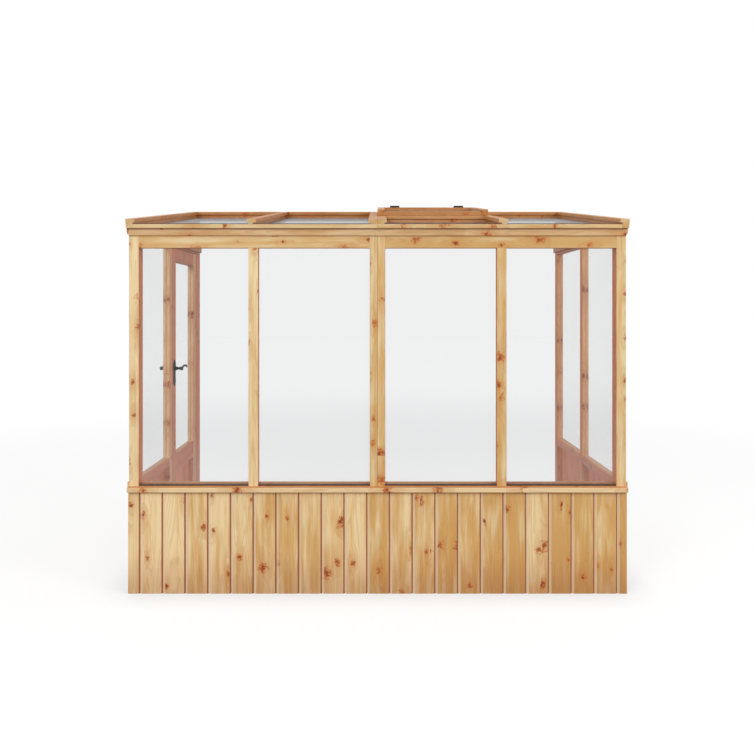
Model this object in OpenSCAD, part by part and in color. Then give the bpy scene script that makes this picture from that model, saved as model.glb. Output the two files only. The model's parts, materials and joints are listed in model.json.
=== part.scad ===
// Lean-to greenhouse: boarded dwarf walls, glazed screens above, a glazed mono-pitch roof
// with a hinged vent, and a part-glazed door in the left end. The back is open to the house wall.
// +X runs to the right seen from the garden, +Y runs towards the house, +Z is up.
// The origin is on the underside of the front sole plate, at the middle of the front wall.

/* [Walls] */
// Width over the two end walls
wall_w = 2386; // [2100:1:2800]
// Depth from the front face of the wall frames to the house wall
wall_d = 1200; // [1100:1:1500]
// Height of the front wall at its front face
wall_h = 1735; // [1650:1:1900]
// Thickness of the wall frames, front to back
frame_t = 36; // [32:1:44]
// Width of the front corner posts
post_w = 46; // [40:1:60]
// Width of each of the two posts that meet at the middle of the front
centre_post_w = 36; // [32:1:50]
// Width of a glazing mullion
mullion_w = 46; // [40:1:60]
// Width of the end wall stiles
stile_w = 56; // [46:1:70]
// Height of the front top rail below the roof, at its front face
top_rail_h = 80; // [60:1:100]
// Height of the rails under the front windows
front_mid_h = 69; // [60:1:90]
// Height of the rails under the end windows
mid_rail_h = 46; // [40:1:60]
// Thickness of the sole plates
sole_t = 20; // [16:1:30]
// Height of the front window bottoms above the ground
window_z = 512; // [450:1:700]
// Height of the end window bottoms above the ground
end_window_z = 533; // [450:1:700]
// Height of the end walls above the front of the front wall
end_rise = 25; // [20:1:40]
// Depth of the head rail on the end walls
end_head_h = 46; // [36:1:60]

/* [Boarding] */
// Cover width of one matchboard
board_w = 108.7; // [90:0.1:130]
// Thickness of the matchboards
board_t = 12; // [11:0.5:18]
// Width of the cut starter board at the left or front
starter_w = 57; // [40:1:80]
// Width of the bevel on the board's leading edge
bevel_wide = 11; // [6:0.5:14]
// Width of the bevel on the board's trailing edge
bevel_narrow = 6; // [3:0.5:9]
// Depth of the V joint
bevel_d = 5; // [3:0.5:6]
// Length of the tongue
tongue_l = 7; // [5:0.5:9]
// Thickness of the tongue
tongue_t = 3; // [2:0.5:4]

/* [Sill and trims] */
// Thickness of the front sill
sill_t = 24; // [18:1:30]
// Distance the sill stands out in front of the boards
sill_nose = 20; // [10:1:40]
// Height of the window rail's top above the sill's top
sill_step = 1; // [0:0.5:20]
// Height that the window rail stands up behind the glass
bead_h = 14; // [6:1:20]
// Thickness of the cover strips and the fascia
strip_t = 8; // [6:0.5:12]
// Height of the cover strip along the end walls
strip_h = 43; // [36:1:60]
// Height of the front fascia
fascia_h = 36; // [30:1:45]
// Thickness of the inner cover strip along the end walls' heads
head_strip_t = 12; // [8:1:16]
// Height of the inner cover strip
head_strip_h = 40; // [30:1:50]
// Height of the inner cover strip above the end windows
head_strip_up = 14; // [8:1:20]

/* [Glazing] */
// Thickness of the panes
pane_t = 4; // [3:0.5:5]
// Depth of the grooves that hold the panes
groove_d = 8; // [6:0.5:10]
// Clearance round a pane in its groove
pane_gap = 0.5; // [0.3:0.1:1]

/* [Door] */
// Width of the door leaf
door_w = 504; // [460:1:640]
// Width of the door stiles
door_stile_w = 61; // [50:1:75]
// Height of the door's top rail
door_top_h = 77; // [60:1:100]
// Height of the door's middle rail
door_mid_h = 100; // [60:1:120]
// Height of the door's bottom rail
door_bottom_h = 100; // [60:1:120]
// Gap round the door leaf
door_gap = 3; // [2:0.5:4]
// Width of the jamb that the door hinges on
jamb_w = 53; // [40:1:60]
// Width of the stile against the house wall
rear_stile_w = 46; // [40:1:60]
// Height of the lever's spindle
lever_z = 1025; // [900:1:1100]
// Length of the lever from its spindle
lever_l = 112; // [90:1:125]
// Height of the lock's back plate
plate_h = 146; // [120:1:180]
// Width of the lock's back plate
plate_w = 40; // [34:1:46]

/* [Roof] */
// Pitch of the roof in degrees
pitch = 9.5; // [7:0.5:13]
// Depth of the roof timbers, square to the slope
roof_t = 60; // [54:1:70]
// Width of the rafter on each side of a roof panel
rafter_w = 44; // [40:1:52]
// Depth of the shelf in a rafter's side that takes the glass
rebate_w = 11; // [9:1:14]
// Width of the capping on the middle rafter
cap_w = 46; // [40:1:60]
// Width of the middle rafter's web
web_w = 16; // [14:1:22]
// Thickness of the capping part of a rafter
cap_t = 18; // [14:1:20]
// Depth of the rafters' ends in front of the wall
rafter_end_h = 44; // [40:1:50]
// Thickness of the shelf under the glass
shelf_t = 18; // [16:1:22]
// Distance the roof stands out in front of the wall frame, along the slope
eaves_over = 20; // [15:1:40]
// Height of the upstand on the eaves rail
eaves_h = 19; // [14:1:20]

/* [Roof vent] */
// Distance up the slope from the wall's front face to the vent's front edge
vent_u = 460; // [380:1:500]
// Length of the vent up the slope
vent_l = 497; // [420:1:520]
// Depth of the vent's side timbers
vent_t = 33; // [28:1:40]
// Depth of the vent's front rail, which the pane runs over
vent_front_t = 18; // [14:1:20]
// Width of the vent's timbers
vent_frame_w = 40; // [36:1:50]

/* [Ironwork] */
// Length of a hinge along its pin
hinge_l = 57; // [50:1:80]
// Width of a hinge leaf from the pin
hinge_leaf_w = 24; // [20:1:28]
// Thickness of a hinge leaf
hinge_leaf_t = 2.5; // [2:0.5:3]
// Radius of a hinge knuckle
knuckle_r = 5; // [4.5:0.5:6]
// Radius of a hinge pin
pin_r = 2.5; // [2:0.5:3]
// Radial clearance of a hinge pin in its knuckle
pin_gap = 0.08; // [0.05:0.01:0.1]
// Height of the lowest and highest door hinge from the leaf's ends
hinge_end = 120; // [80:5:200]
// Radius of the holes for the screws that fix the rear stiles to the house
fixing_r = 4; // [3:0.5:6]
// Height of the lower fixing hole
fixing_low = 350; // [200:10:450]
// Height of the upper fixing hole
fixing_high = 1450; // [1200:10:1600]
// Distance of the fixing holes from the inner face of the end wall
fixing_in = 8; // [7:0.5:10]

/* [Hidden] */

pine = [0.85, 0.68, 0.42];
pine_pale = [0.89, 0.74, 0.50];
pine_dark = [0.78, 0.57, 0.34];
glass = [0.80, 0.88, 0.92, 0.35];
iron = [0.13, 0.14, 0.15];

// Clearance between flat faces on pieces that move apart
seat_gap = 0.5;
// Clearance in the tongue and groove joints
joint_gap = 0.3;
// Gap where two loose halves meet at the middle of the building
seam = 0.4;
big = 4000;

half_w = wall_w / 2;
y_front = -frame_t / 2;
y_inner = y_front + frame_t;
y_rear = y_front + wall_d;
panel_w = half_w;
head_z = wall_h - top_rail_h;
front_mid_z = window_z - front_mid_h;
mid_z = end_window_z - mid_rail_h;
sill_top = window_z - sill_step;
sill_z = sill_top - sill_t;
end_h = wall_h + end_rise;
inner_h = wall_h + frame_t * tan(pitch);
gable_y = y_front + end_rise / tan(pitch);
end_head_z = end_h - end_head_h;
frame_in = half_w - frame_t;
lower_out = half_w - board_t;
end_l = y_rear - y_inner;
right_mullion_y = (y_inner + stile_w + y_rear - stile_w - mullion_w) / 2;
// Door and its neighbours, from the house wall forwards
hinge_jamb_y = y_rear - rear_stile_w - jamb_w;
door_y1 = hinge_jamb_y - door_gap;
door_y0 = door_y1 - door_w;
door_post_y1 = door_y0 - door_gap;
door_post_y0 = door_post_y1 - stile_w;
door_z0 = sole_t + door_gap;
door_z1 = end_head_z - door_gap;
door_pane_z1 = door_z1 - door_top_h;
pane_y = -pane_t / 2;
pane_x = half_w - frame_t / 2 - pane_t / 2;

// Roof levels, square to the slope, from its underside
glass_w = shelf_t;
cap_z = roof_t - cap_t;
over_z = roof_t - rafter_end_h;
// Where the roof's foot starts, so that it clears the fascia at the top
toe_u = over_z * tan(pitch) + joint_gap;
lip = 6;
roof_half = half_w + strip_t;
roof_l = wall_d / cos(pitch);
bar_w = rafter_w - rebate_w;
panel_mid = roof_half / 2;
front_trim_u = vent_u;
rear_trim_u = vent_u + vent_l - 27;
rear_trim_l = 60;
hinge_rail_u = vent_u + vent_l + 3;
flap_z = roof_t + seat_gap;
flap_top = flap_z + vent_t;
vent_w = panel_mid;
vent_pane_z = flap_z + vent_front_t;
knuckle_off = knuckle_r + 0.5;

// Moves its children from the slope's own axes to the building's
module on_slope() {
    translate([0, y_front, wall_h]) rotate([pitch, 0, 0]) children();
}

// A block between two corners
module block(low, high) {
    translate(low) cube(high - low);
}

// An outline drawn in Y and Z, carried along X from x0 to x1
module along_x(x0, x1) {
    translate([x0, 0, 0]) rotate([90, 0, 90]) linear_extrude(x1 - x0) children();
}

// An outline drawn in X and Z, carried along Y from y0 to y1
module along_y(y0, y1) {
    translate([0, y1, 0]) rotate([90, 0, 0]) linear_extrude(y1 - y0) children();
}

// A mirrored pair about the middle of the building
module both_sides() {
    children();
    mirror([1, 0, 0]) children();
}

// A front wall timber whose top is cut to the pitch of the roof
module front_post(x0, x1) {
    along_x(x0, x1) polygon([[y_front, sole_t], [y_inner, sole_t],
        [y_inner, inner_h], [y_front, wall_h]]);
}

// Outline of one matchboard, with its face down at y = -board_t and its back at y = 0
module board_outline(w, has_groove, has_tongue) {
    mid0 = 2.5;
    mid1 = mid0 + tongue_t;
    deep = min(bevel_d, board_t - mid1 - joint_gap - 1);
    lead = has_groove ? bevel_wide : 0;
    lead_d = has_groove ? deep : 0;
    trail = has_tongue ? bevel_narrow : 0;
    trail_d = has_tongue ? deep : 0;
    tip = w + tongue_l;
    tongue = [[w, -mid1], [tip, -mid1], [tip, -mid0], [w, -mid0]];
    groove = [[0, -mid0 + joint_gap], [tongue_l + joint_gap, -mid0 + joint_gap],
        [tongue_l + joint_gap, -mid1 - joint_gap], [0, -mid1 - joint_gap]];
    polygon(concat(
        [[lead, -board_t], [w - trail, -board_t]],
        has_tongue ? [[w, -board_t + trail_d]] : [],
        has_tongue ? tongue : [],
        [[w, 0], [0, 0]],
        has_groove ? groove : [],
        has_groove ? [[0, -board_t + lead_d]] : []));
}

// A run of upright matchboards: a cut starter, full boards and what is left over
module boarding(run, h, start) {
    full = floor((run - start) / board_w - 0.1);
    last = run - start - full * board_w;
    linear_extrude(h) board_outline(start - joint_gap, false, true);
    for (i = [0:full - 1])
        translate([start + i * board_w, 0, 0])
            linear_extrude(h) board_outline(board_w - joint_gap, true, true);
    translate([start + full * board_w, 0, 0]) linear_extrude(h) board_outline(last, true, false);
}

// The space of a pane, grown by a margin on its thickness and edges
module pane_space(low, high, margin) {
    block(low - [margin, margin, margin], high + [margin, margin, margin]);
}

// Corners of the four front panes
front_edges = [[-half_w + post_w, -panel_w / 2 - mullion_w / 2],
    [-panel_w / 2 + mullion_w / 2, -centre_post_w],
    [centre_post_w, panel_w / 2 - mullion_w / 2],
    [panel_w / 2 + mullion_w / 2, half_w - post_w]];
bite = groove_d - pane_gap;

module front_glass(margin) {
    for (e = front_edges)
        pane_space([e[0] - bite, pane_y, window_z - bite],
            [e[1] + bite, pane_y + pane_t, head_z + bite], margin);
}

module right_glass(margin) {
    for (e = [[y_inner + stile_w, right_mullion_y], [right_mullion_y + mullion_w, y_rear - stile_w]])
        pane_space([pane_x, e[0] - bite, end_window_z - bite],
            [pane_x + pane_t, e[1] + bite, end_head_z + bite], margin);
}

module left_glass(margin) {
    pane_space([-pane_x - pane_t, y_inner + stile_w - bite, end_window_z - bite],
        [-pane_x, door_post_y0 + bite, end_head_z + bite], margin);
}

module door_glass(margin) {
    pane_space([-pane_x - pane_t, door_y0 + door_stile_w - bite, end_window_z - bite],
        [-pane_x, door_y1 - door_stile_w + bite, door_pane_z1 + bite], margin);
}

// Front wall
module front_sole_plate() {
    color(pine_dark) block([-half_w, y_front, 0], [half_w, y_inner, sole_t]);
}

module front_corner_posts() {
    color(pine) difference() {
        both_sides() front_post(half_w - post_w, half_w);
        front_glass(pane_gap);
    }
}

// A loose joint at the middle of the building: the left half's tongue in the right half
module middle_tongue(margin) {
    along_x(-seam, tongue_l + margin) polygon([[-tongue_t - margin, sole_t - margin],
        [tongue_t + margin, sole_t - margin], [tongue_t + margin, wall_h + margin],
        [-tongue_t - margin, wall_h + margin]]);
}

module front_centre_posts() {
    color(pine) difference() {
        union() {
            left_side() front_post(seam / 2, centre_post_w);
            middle_tongue(0);
        }
        front_glass(pane_gap);
    }
    color(pine) difference() {
        front_post(seam / 2, centre_post_w);
        middle_tongue(joint_gap);
        front_glass(pane_gap);
    }
}

module front_mullions() {
    x0 = (panel_w - mullion_w) / 2;
    color(pine) difference() {
        both_sides() block([x0, y_front, sole_t], [x0 + mullion_w, y_inner, head_z]);
        front_glass(pane_gap);
    }
}

module front_top_rails() {
    color(pine_pale) difference() {
        both_sides() along_x(centre_post_w, half_w - post_w)
            polygon([[y_front, head_z], [y_inner, head_z], [y_inner, inner_h], [y_front, wall_h]]);
        front_glass(pane_gap);
    }
}

module front_mid_rails() {
    color(pine_dark) difference() {
        for (e = front_edges) along_x(e[0], e[1])
            polygon([[y_front, front_mid_z], [y_inner, front_mid_z],
                [y_inner, window_z + bead_h], [pane_y + pane_t, window_z + bead_h],
                [pane_y + pane_t, window_z], [y_front, window_z]]);
        front_glass(pane_gap);
    }
}

module front_cladding() {
    color(pine_pale) translate([-half_w, y_front, 0]) boarding(wall_w, sill_z, starter_w);
}

module front_sill() {
    nose_y = y_front - board_t - sill_nose;
    ease = 3;
    color(pine_pale) along_x(-half_w, half_w)
        polygon([[y_front, sill_z], [y_front, sill_top], [nose_y + ease, sill_top],
            [nose_y, sill_top - ease], [nose_y, sill_z + ease], [nose_y + ease, sill_z]]);
}

module front_fascia() {
    top_z = wall_h + over_z / cos(pitch) - strip_t * tan(pitch) - seat_gap;
    color(pine_pale) block([-half_w, y_front - strip_t, top_z - fascia_h],
        [half_w, y_front, top_z]);
}

module front_panes() {
    color(glass) front_glass(0);
}

// End walls: timbers set back behind the boards below the window rail
module end_upright(y0, y1, z1, boarded) {
    foot_x = boarded ? lower_out : half_w;
    along_y(y0, y1) polygon([[frame_in, sole_t], [foot_x, sole_t], [foot_x, mid_z],
        [half_w, mid_z], [half_w, z1], [frame_in, z1]]);
}

// Everything that lies below the roof's underside
module under_roof() {
    intersection() {
        children();
        along_x(-big / 2, big / 2) polygon([[y_front, -1], [y_rear, -1],
            [y_rear, under_z(y_rear)], [y_front, wall_h]]);
    }
}

// Screw holes through a timber that stands against the house wall
module wall_fixings(y0) {
    for (z = [fixing_low, fixing_high])
        translate([frame_in + fixing_in, y0 - 1, z]) rotate([-90, 0, 0])
            cylinder(r = fixing_r, h = big, $fn = 32);
}

module right_sole_plate() {
    color(pine_dark) block([frame_in, y_inner, 0], [lower_out, y_rear, sole_t]);
}

module right_front_stile() {
    color(pine) difference() {
        under_roof() end_upright(y_inner, y_inner + stile_w, end_h, true);
        right_glass(pane_gap);
    }
}

module right_mullion() {
    color(pine) difference() {
        end_upright(right_mullion_y, right_mullion_y + mullion_w, end_head_z, true);
        right_glass(pane_gap);
    }
}

module right_rear_stile() {
    color(pine) difference() {
        end_upright(y_rear - stile_w, y_rear, end_h, true);
        right_glass(pane_gap);
        wall_fixings(y_rear - stile_w);
    }
}

module right_head_rail() {
    color(pine) difference() {
        under_roof() block([frame_in, y_inner + stile_w, end_head_z],
            [half_w, y_rear - stile_w, end_h]);
        right_glass(pane_gap);
    }
}

module right_mid_rails() {
    color(pine) difference() {
        for (e = [[y_inner + stile_w, right_mullion_y],
                [right_mullion_y + mullion_w, y_rear - stile_w]])
            block([frame_in, e[0], mid_z], [half_w, e[1], end_window_z]);
        right_glass(pane_gap);
    }
}

module right_cladding() {
    color(pine_pale) translate([lower_out, y_inner, 0]) rotate([0, 0, 90])
        boarding(end_l, mid_z, starter_w);
}

module right_panes() {
    color(glass) right_glass(0);
}

// Height of the roof's underside at a distance behind the wall's front face
function under_z(y) = wall_h + (y - y_front) * tan(pitch);

// Rail under the roof's slope that the gable boards are nailed to
module gable_rail() {
    depth_z = 40;
    along_x(frame_in, lower_out) polygon([[gable_y, end_h],
        [gable_y + depth_z / tan(pitch), end_h], [y_rear, under_z(y_rear) - depth_z],
        [y_rear, under_z(y_rear)]]);
}

module gable_boards() {
    top = under_z(y_rear) - end_h;
    under_roof() translate([lower_out, gable_y, end_h]) rotate([0, 0, 90])
        boarding(y_rear - gable_y, top, starter_w);
}

module right_gable_rail() {
    color(pine) gable_rail();
}

module right_gable_boards() {
    color(pine_pale) gable_boards();
}

// The left wall mirrors the right one, with the door in place of the rear window
module left_side() {
    mirror([1, 0, 0]) children();
}

module left_sole_plate() {
    color(pine_dark) left_side() union() {
        block([frame_in, y_inner, 0], [lower_out, door_post_y1, sole_t]);
        block([frame_in, door_post_y1, 0], [half_w, y_rear, sole_t]);
    }
}

module left_front_stile() {
    color(pine) difference() {
        left_side() under_roof() end_upright(y_inner, y_inner + stile_w, end_h, true);
        left_glass(pane_gap);
    }
}

module left_door_post() {
    color(pine) difference() {
        left_side() end_upright(door_post_y0, door_post_y1, end_head_z, true);
        left_glass(pane_gap);
    }
}

module left_hinge_jamb() {
    color(pine) left_side()
        end_upright(hinge_jamb_y, y_rear - rear_stile_w, end_head_z, false);
}

module left_rear_stile() {
    color(pine) difference() {
        left_side() end_upright(y_rear - rear_stile_w, y_rear, end_h, false);
        left_side() wall_fixings(y_rear - rear_stile_w);
    }
}

module left_head_rail() {
    color(pine) difference() {
        left_side() under_roof() block([frame_in, y_inner + stile_w, end_head_z],
            [half_w, y_rear - rear_stile_w, end_h]);
        left_glass(pane_gap);
    }
}

module left_mid_rail() {
    color(pine) difference() {
        left_side() block([frame_in, y_inner + stile_w, mid_z],
            [half_w, door_post_y0, end_window_z]);
        left_glass(pane_gap);
    }
}

module left_cladding() {
    color(pine_pale) left_side() translate([lower_out, y_inner, 0]) rotate([0, 0, 90])
        boarding(door_post_y1 - y_inner, mid_z, starter_w);
}

module left_pane() {
    color(glass) left_glass(0);
}

module left_gable_rail() {
    color(pine) left_side() gable_rail();
}

module left_gable_boards() {
    color(pine_pale) left_side() gable_boards();
}

// Cover strips over the joint between the boards and the window rail
module sill_strips() {
    color(pine_pale) {
        block([half_w, y_front, mid_z], [half_w + strip_t, y_rear, mid_z + strip_h]);
        left_side() block([half_w, y_front, mid_z],
            [half_w + strip_t, door_post_y1, mid_z + strip_h]);
    }
}

// Strips inside, over the joint between the end walls' heads and the gables
module head_strips() {
    z0 = end_head_z + head_strip_up;
    color(pine_dark) both_sides() under_roof()
        block([frame_in - head_strip_t, y_inner + seam, z0], [frame_in, y_rear,
            z0 + head_strip_h]);
}

// Sloping strips under the verges
module verge_strips() {
    low = -14;
    color(pine_dark) both_sides() to_house() on_slope()
        block([half_w, -strip_t, low], [half_w + strip_t, roof_l + roof_t, over_z]);
}

// Everything in front of the house wall
module to_house() {
    intersection() {
        children();
        translate([-big / 2, y_rear - big, -1]) cube(big);
    }
}

// Roof, drawn on the slope: u runs up it along Y, and Z is square to it
roof_end = roof_l + roof_t * tan(pitch) + 5;

module verge_rafter() {
    block([roof_half - bar_w, -eaves_over, over_z], [roof_half, roof_end, roof_t]);
    block([roof_half - bar_w, toe_u, 0], [half_w, roof_end, over_z]);
    block([roof_half - rafter_w, -eaves_over, cap_z], [roof_half - bar_w, roof_end, roof_t]);
    block([roof_half - rafter_w, rafter_w, 0], [roof_half - bar_w, roof_l - rafter_w, shelf_t]);
}

// A rafter that rests on the eaves rail: capping, web and the shelf behind the rail
module centre_rafter() {
    x0 = seam / 2;
    block([x0, -eaves_over, cap_z], [rafter_w, roof_end, roof_t]);
    block([x0, -eaves_over, over_z + eaves_h], [bar_w, lip, cap_z]);
    block([x0, lip, shelf_t], [bar_w, roof_end, cap_z]);
    block([x0, rafter_w, 0], [bar_w, roof_end, shelf_t]);
    block([bar_w, rafter_w, 0], [rafter_w, roof_l - rafter_w, shelf_t]);
}

module middle_rafter() {
    block([-cap_w / 2, -eaves_over, cap_z], [cap_w / 2, roof_l - rafter_w, roof_t]);
    block([-web_w / 2, -eaves_over, over_z + eaves_h], [web_w / 2, lip, cap_z]);
    block([-web_w / 2, lip, shelf_t], [web_w / 2, roof_l - bar_w, cap_z]);
    block([-cap_w / 2, rafter_w, 0], [cap_w / 2, roof_l - rafter_w, shelf_t]);
}

module verge_rafters() {
    color(pine) both_sides() to_house() on_slope() verge_rafter();
}

// The two roof panels meet in the same way
module roof_tongue(margin) {
    z0 = cap_z - tongue_t;
    block([-seam, lip + 2 - margin, z0 - margin], [tongue_l + margin, roof_end,
        z0 + 2 * tongue_t + margin]);
}

module centre_rafters() {
    color(pine) to_house() on_slope() {
        left_side() centre_rafter();
        roof_tongue(0);
        difference() {
            centre_rafter();
            roof_tongue(joint_gap);
        }
    }
}

module middle_rafters() {
    color(pine) both_sides() on_slope() translate([panel_mid, 0, 0]) middle_rafter();
}

// Eaves rail: a shelf on the wall's top with a lip in front that stops the glass
module eaves_rails() {
    color(pine_pale) both_sides() on_slope() along_x(seam / 2, roof_half - bar_w)
        polygon([[-eaves_over, over_z], [-eaves_over, over_z + eaves_h],
            [lip, over_z + eaves_h], [lip, shelf_t], [rafter_w, shelf_t], [rafter_w, 0],
            [toe_u, 0], [toe_u, over_z]]);
}

module rear_rails() {
    color(pine) both_sides() to_house() on_slope() {
        block([bar_w, roof_l - rafter_w, 0], [roof_half - bar_w, roof_end, shelf_t]);
        block([bar_w, roof_l - bar_w, shelf_t], [roof_half - bar_w, roof_end, cap_z]);
        block([rafter_w, roof_l - rafter_w, cap_z], [roof_half - rafter_w, roof_end, roof_t]);
    }
}

module roof_pane(x0, x1, u0, u1) {
    block([x0 + pane_gap, u0 + pane_gap, glass_w], [x1 - pane_gap, u1 - pane_gap,
        glass_w + pane_t]);
}

module roof_panes() {
    top_u = roof_l - bar_w;
    inner = panel_mid - web_w / 2;
    outer = panel_mid + web_w / 2;
    color(glass) on_slope() {
        roof_pane(-roof_half + bar_w, -outer, lip, top_u);
        roof_pane(-inner, -bar_w, lip, top_u);
        roof_pane(outer, roof_half - bar_w, lip, top_u);
        roof_pane(bar_w, inner, lip, front_trim_u + rebate_w);
        roof_pane(bar_w, inner, rear_trim_u + rear_trim_l - rebate_w, top_u);
    }
}

// Trimmers frame the vent's opening between two rafters
module trimmer(u0, u1, bar0, bar1) {
    block([rafter_w, u0, 0], [panel_mid - cap_w / 2, u1, shelf_t]);
    block([bar_w, bar0, shelf_t], [panel_mid - web_w / 2, bar1, cap_z]);
    block([rafter_w, u0, cap_z], [panel_mid - cap_w / 2, u1, roof_t]);
}

module vent_front_trimmer() {
    color(pine) on_slope() trimmer(front_trim_u, front_trim_u + rafter_w,
        front_trim_u + rebate_w, front_trim_u + rafter_w);
}

module vent_rear_trimmer() {
    color(pine) on_slope() trimmer(rear_trim_u, rear_trim_u + rear_trim_l,
        rear_trim_u, rear_trim_u + rear_trim_l - rebate_w);
}

module vent_hinge_rail() {
    color(pine) on_slope() block([0, hinge_rail_u, roof_t],
        [vent_w, rear_trim_u + rear_trim_l, flap_top]);
}

// Surface hinge with its pin along Z: leaves lie at x = -leaf to 0
module hinge_leaf(dir) {
    y0 = dir > 0 ? 1 : -hinge_leaf_w;
    block([-hinge_leaf_t, y0, 0], [0, y0 + hinge_leaf_w - 1, hinge_l]);
}

module knuckle(z0, z1) {
    translate([-knuckle_off, 0, z0]) cylinder(r = knuckle_r, h = z1 - z0, $fn = 40);
}

// Height of the middle knuckle, and the play at each end of it
mid_knuckle = hinge_l * 0.36;
end_play = 0.3;

module hinge_fixed() {
    z0 = (hinge_l - mid_knuckle) / 2;
    difference() {
        union() {
            hinge_leaf(1);
            knuckle(0, z0);
            knuckle(hinge_l - z0, hinge_l);
        }
        translate([-knuckle_off - big / 2, -big / 2, z0])
            cube([big, big / 2 + knuckle_r + joint_gap, mid_knuckle]);
    }
    translate([-knuckle_off, 0, 0]) cylinder(r = pin_r, h = hinge_l, $fn = 32);
}

module hinge_moving() {
    z0 = (hinge_l - mid_knuckle) / 2 + end_play;
    z1 = (hinge_l + mid_knuckle) / 2 - end_play;
    difference() {
        union() {
            difference() {
                hinge_leaf(-1);
                for (z = [-big, z1]) translate([-big / 2, -knuckle_r - joint_gap, z])
                    cube([big, big, big + (z < 0 ? z0 : 0)]);
            }
            knuckle(z0, z1);
        }
        translate([-knuckle_off, 0, -1]) cylinder(r = pin_r + pin_gap, h = hinge_l + 2, $fn = 32);
    }
}

hinge_spots = [0.175, 0.825];

module vent_hinge_at(f) {
    on_slope() translate([vent_w * f - hinge_l / 2, (hinge_rail_u + vent_u + vent_l) / 2, flap_top])
        rotate([0, 90, 0]) children();
}

module vent_hinge_plates() {
    color(iron) for (f = hinge_spots) vent_hinge_at(f) hinge_fixed();
}

module vent_hinge_leaves() {
    color(iron) for (f = hinge_spots) vent_hinge_at(f) hinge_moving();
}

// Vent flap
module vent_glass(margin) {
    on_slope() pane_space([vent_frame_w - bite, vent_u, vent_pane_z],
        [vent_w - vent_frame_w + bite, vent_u + vent_l - vent_frame_w + bite,
        vent_pane_z + pane_t], margin);
}

module vent_stiles() {
    color(pine) difference() {
        on_slope() for (x = [0, vent_w - vent_frame_w])
            block([x, vent_u, flap_z], [x + vent_frame_w, vent_u + vent_l, flap_top]);
        vent_glass(pane_gap);
    }
}

module vent_front_rail() {
    color(pine) on_slope() block([vent_frame_w, vent_u, flap_z],
        [vent_w - vent_frame_w, vent_u + vent_frame_w, vent_pane_z - joint_gap]);
}

module vent_rear_rail() {
    color(pine) difference() {
        on_slope() block([vent_frame_w, vent_u + vent_l - vent_frame_w, flap_z],
            [vent_w - vent_frame_w, vent_u + vent_l, flap_top]);
        vent_glass(pane_gap);
    }
}

module vent_pane() {
    color(glass) vent_glass(0);
}

// Door
module door_block(y0, y1, z0, z1) {
    left_side() block([frame_in, y0, z0], [half_w, y1, z1]);
}

door_lower_y0 = door_y0 + door_stile_w;
door_lower_y1 = door_y1 - door_stile_w;
door_lower_z0 = door_z0 + door_bottom_h;
door_mid_z = end_window_z - door_mid_h;

// Slab of the door's lower boards, held in a groove all round
module door_slab(margin) {
    left_side() block([half_w - 4 - board_t - margin, door_lower_y0 - bite - margin,
        door_lower_z0 - bite - margin], [half_w - 4 + margin, door_lower_y1 + bite + margin,
        door_mid_z + bite + margin]);
}

module door_lock_stile() {
    color(pine) difference() {
        door_block(door_y0, door_lower_y0, door_z0, door_z1);
        door_glass(pane_gap);
        door_slab(joint_gap);
        translate([-half_w - 1, door_y0 + door_stile_w / 2, lever_z]) rotate([0, 90, 0])
            cylinder(r = spindle_r + pin_gap, h = frame_t + 2, $fn = 32);
    }
}

module door_hinge_stile() {
    color(pine) difference() {
        door_block(door_lower_y1, door_y1, door_z0, door_z1);
        door_glass(pane_gap);
        door_slab(joint_gap);
    }
}

module door_top_rail() {
    color(pine) difference() {
        door_block(door_lower_y0, door_lower_y1, door_pane_z1, door_z1);
        door_glass(pane_gap);
    }
}

module door_mid_rail() {
    color(pine) difference() {
        door_block(door_lower_y0, door_lower_y1, door_mid_z, end_window_z);
        door_glass(pane_gap);
        door_slab(joint_gap);
    }
}

module door_bottom_rail() {
    color(pine) difference() {
        door_block(door_lower_y0, door_lower_y1, door_z0, door_lower_z0);
        door_slab(joint_gap);
    }
}

module door_boards() {
    run = door_lower_y1 - door_lower_y0 + 2 * bite;
    h = door_mid_z - door_lower_z0 + 2 * bite;
    color(pine_pale) left_side()
        translate([half_w - 4 - board_t, door_lower_y0 - bite, door_lower_z0 - bite])
            rotate([0, 0, 90]) boarding(run, h, starter_w + 30);
}

module door_pane() {
    color(glass) door_glass(0);
}

door_hinge_z = [door_z0 + hinge_end, (door_z0 + door_z1) / 2,
    door_z1 - hinge_end - hinge_l];

module door_hinge_at(z) {
    translate([-half_w, (door_y1 + hinge_jamb_y) / 2, z]) children();
}

module door_hinge_plates() {
    color(iron) for (z = door_hinge_z) door_hinge_at(z) hinge_fixed();
}

module door_hinge_leaves() {
    color(iron) for (z = door_hinge_z) door_hinge_at(z) hinge_moving();
}

// Lever handles on long back plates
spindle_r = 6;
plate_t = 4;
spindle_y = door_y0 + door_stile_w / 2;
lever_off = 40;
lever_t = 10;

// Outline of a lock plate: a waisted oblong with a round end and a small ball at each tip
module lock_plate() {
    r = plate_w / 2;
    up = plate_h * 0.33;
    down = plate_h - up;
    difference() {
        union() {
            translate([-r * 0.7, r - down]) square([r * 1.4, plate_h - plate_w]);
            for (z = [up - r - 8, r + 8 - down]) translate([0, z]) circle(r = r, $fn = 48);
            for (z = [up - 7, 7 - down]) translate([0, z]) circle(r = 7, $fn = 32);
        }
        circle(r = spindle_r + pin_gap, $fn = 32);
    }
}

module door_lock_plates() {
    color(iron) for (x = [-half_w - plate_t, -frame_in])
        translate([x, spindle_y, lever_z]) rotate([90, 0, 90]) linear_extrude(plate_t) lock_plate();
}

// Half thickness and rise of the scrolled lever at a share of its length
function lever_half(s) = 8 - 4 * s;
function lever_rise(s) = 5 * sin(360 * s) - 3 * sin(180 * s);

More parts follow.
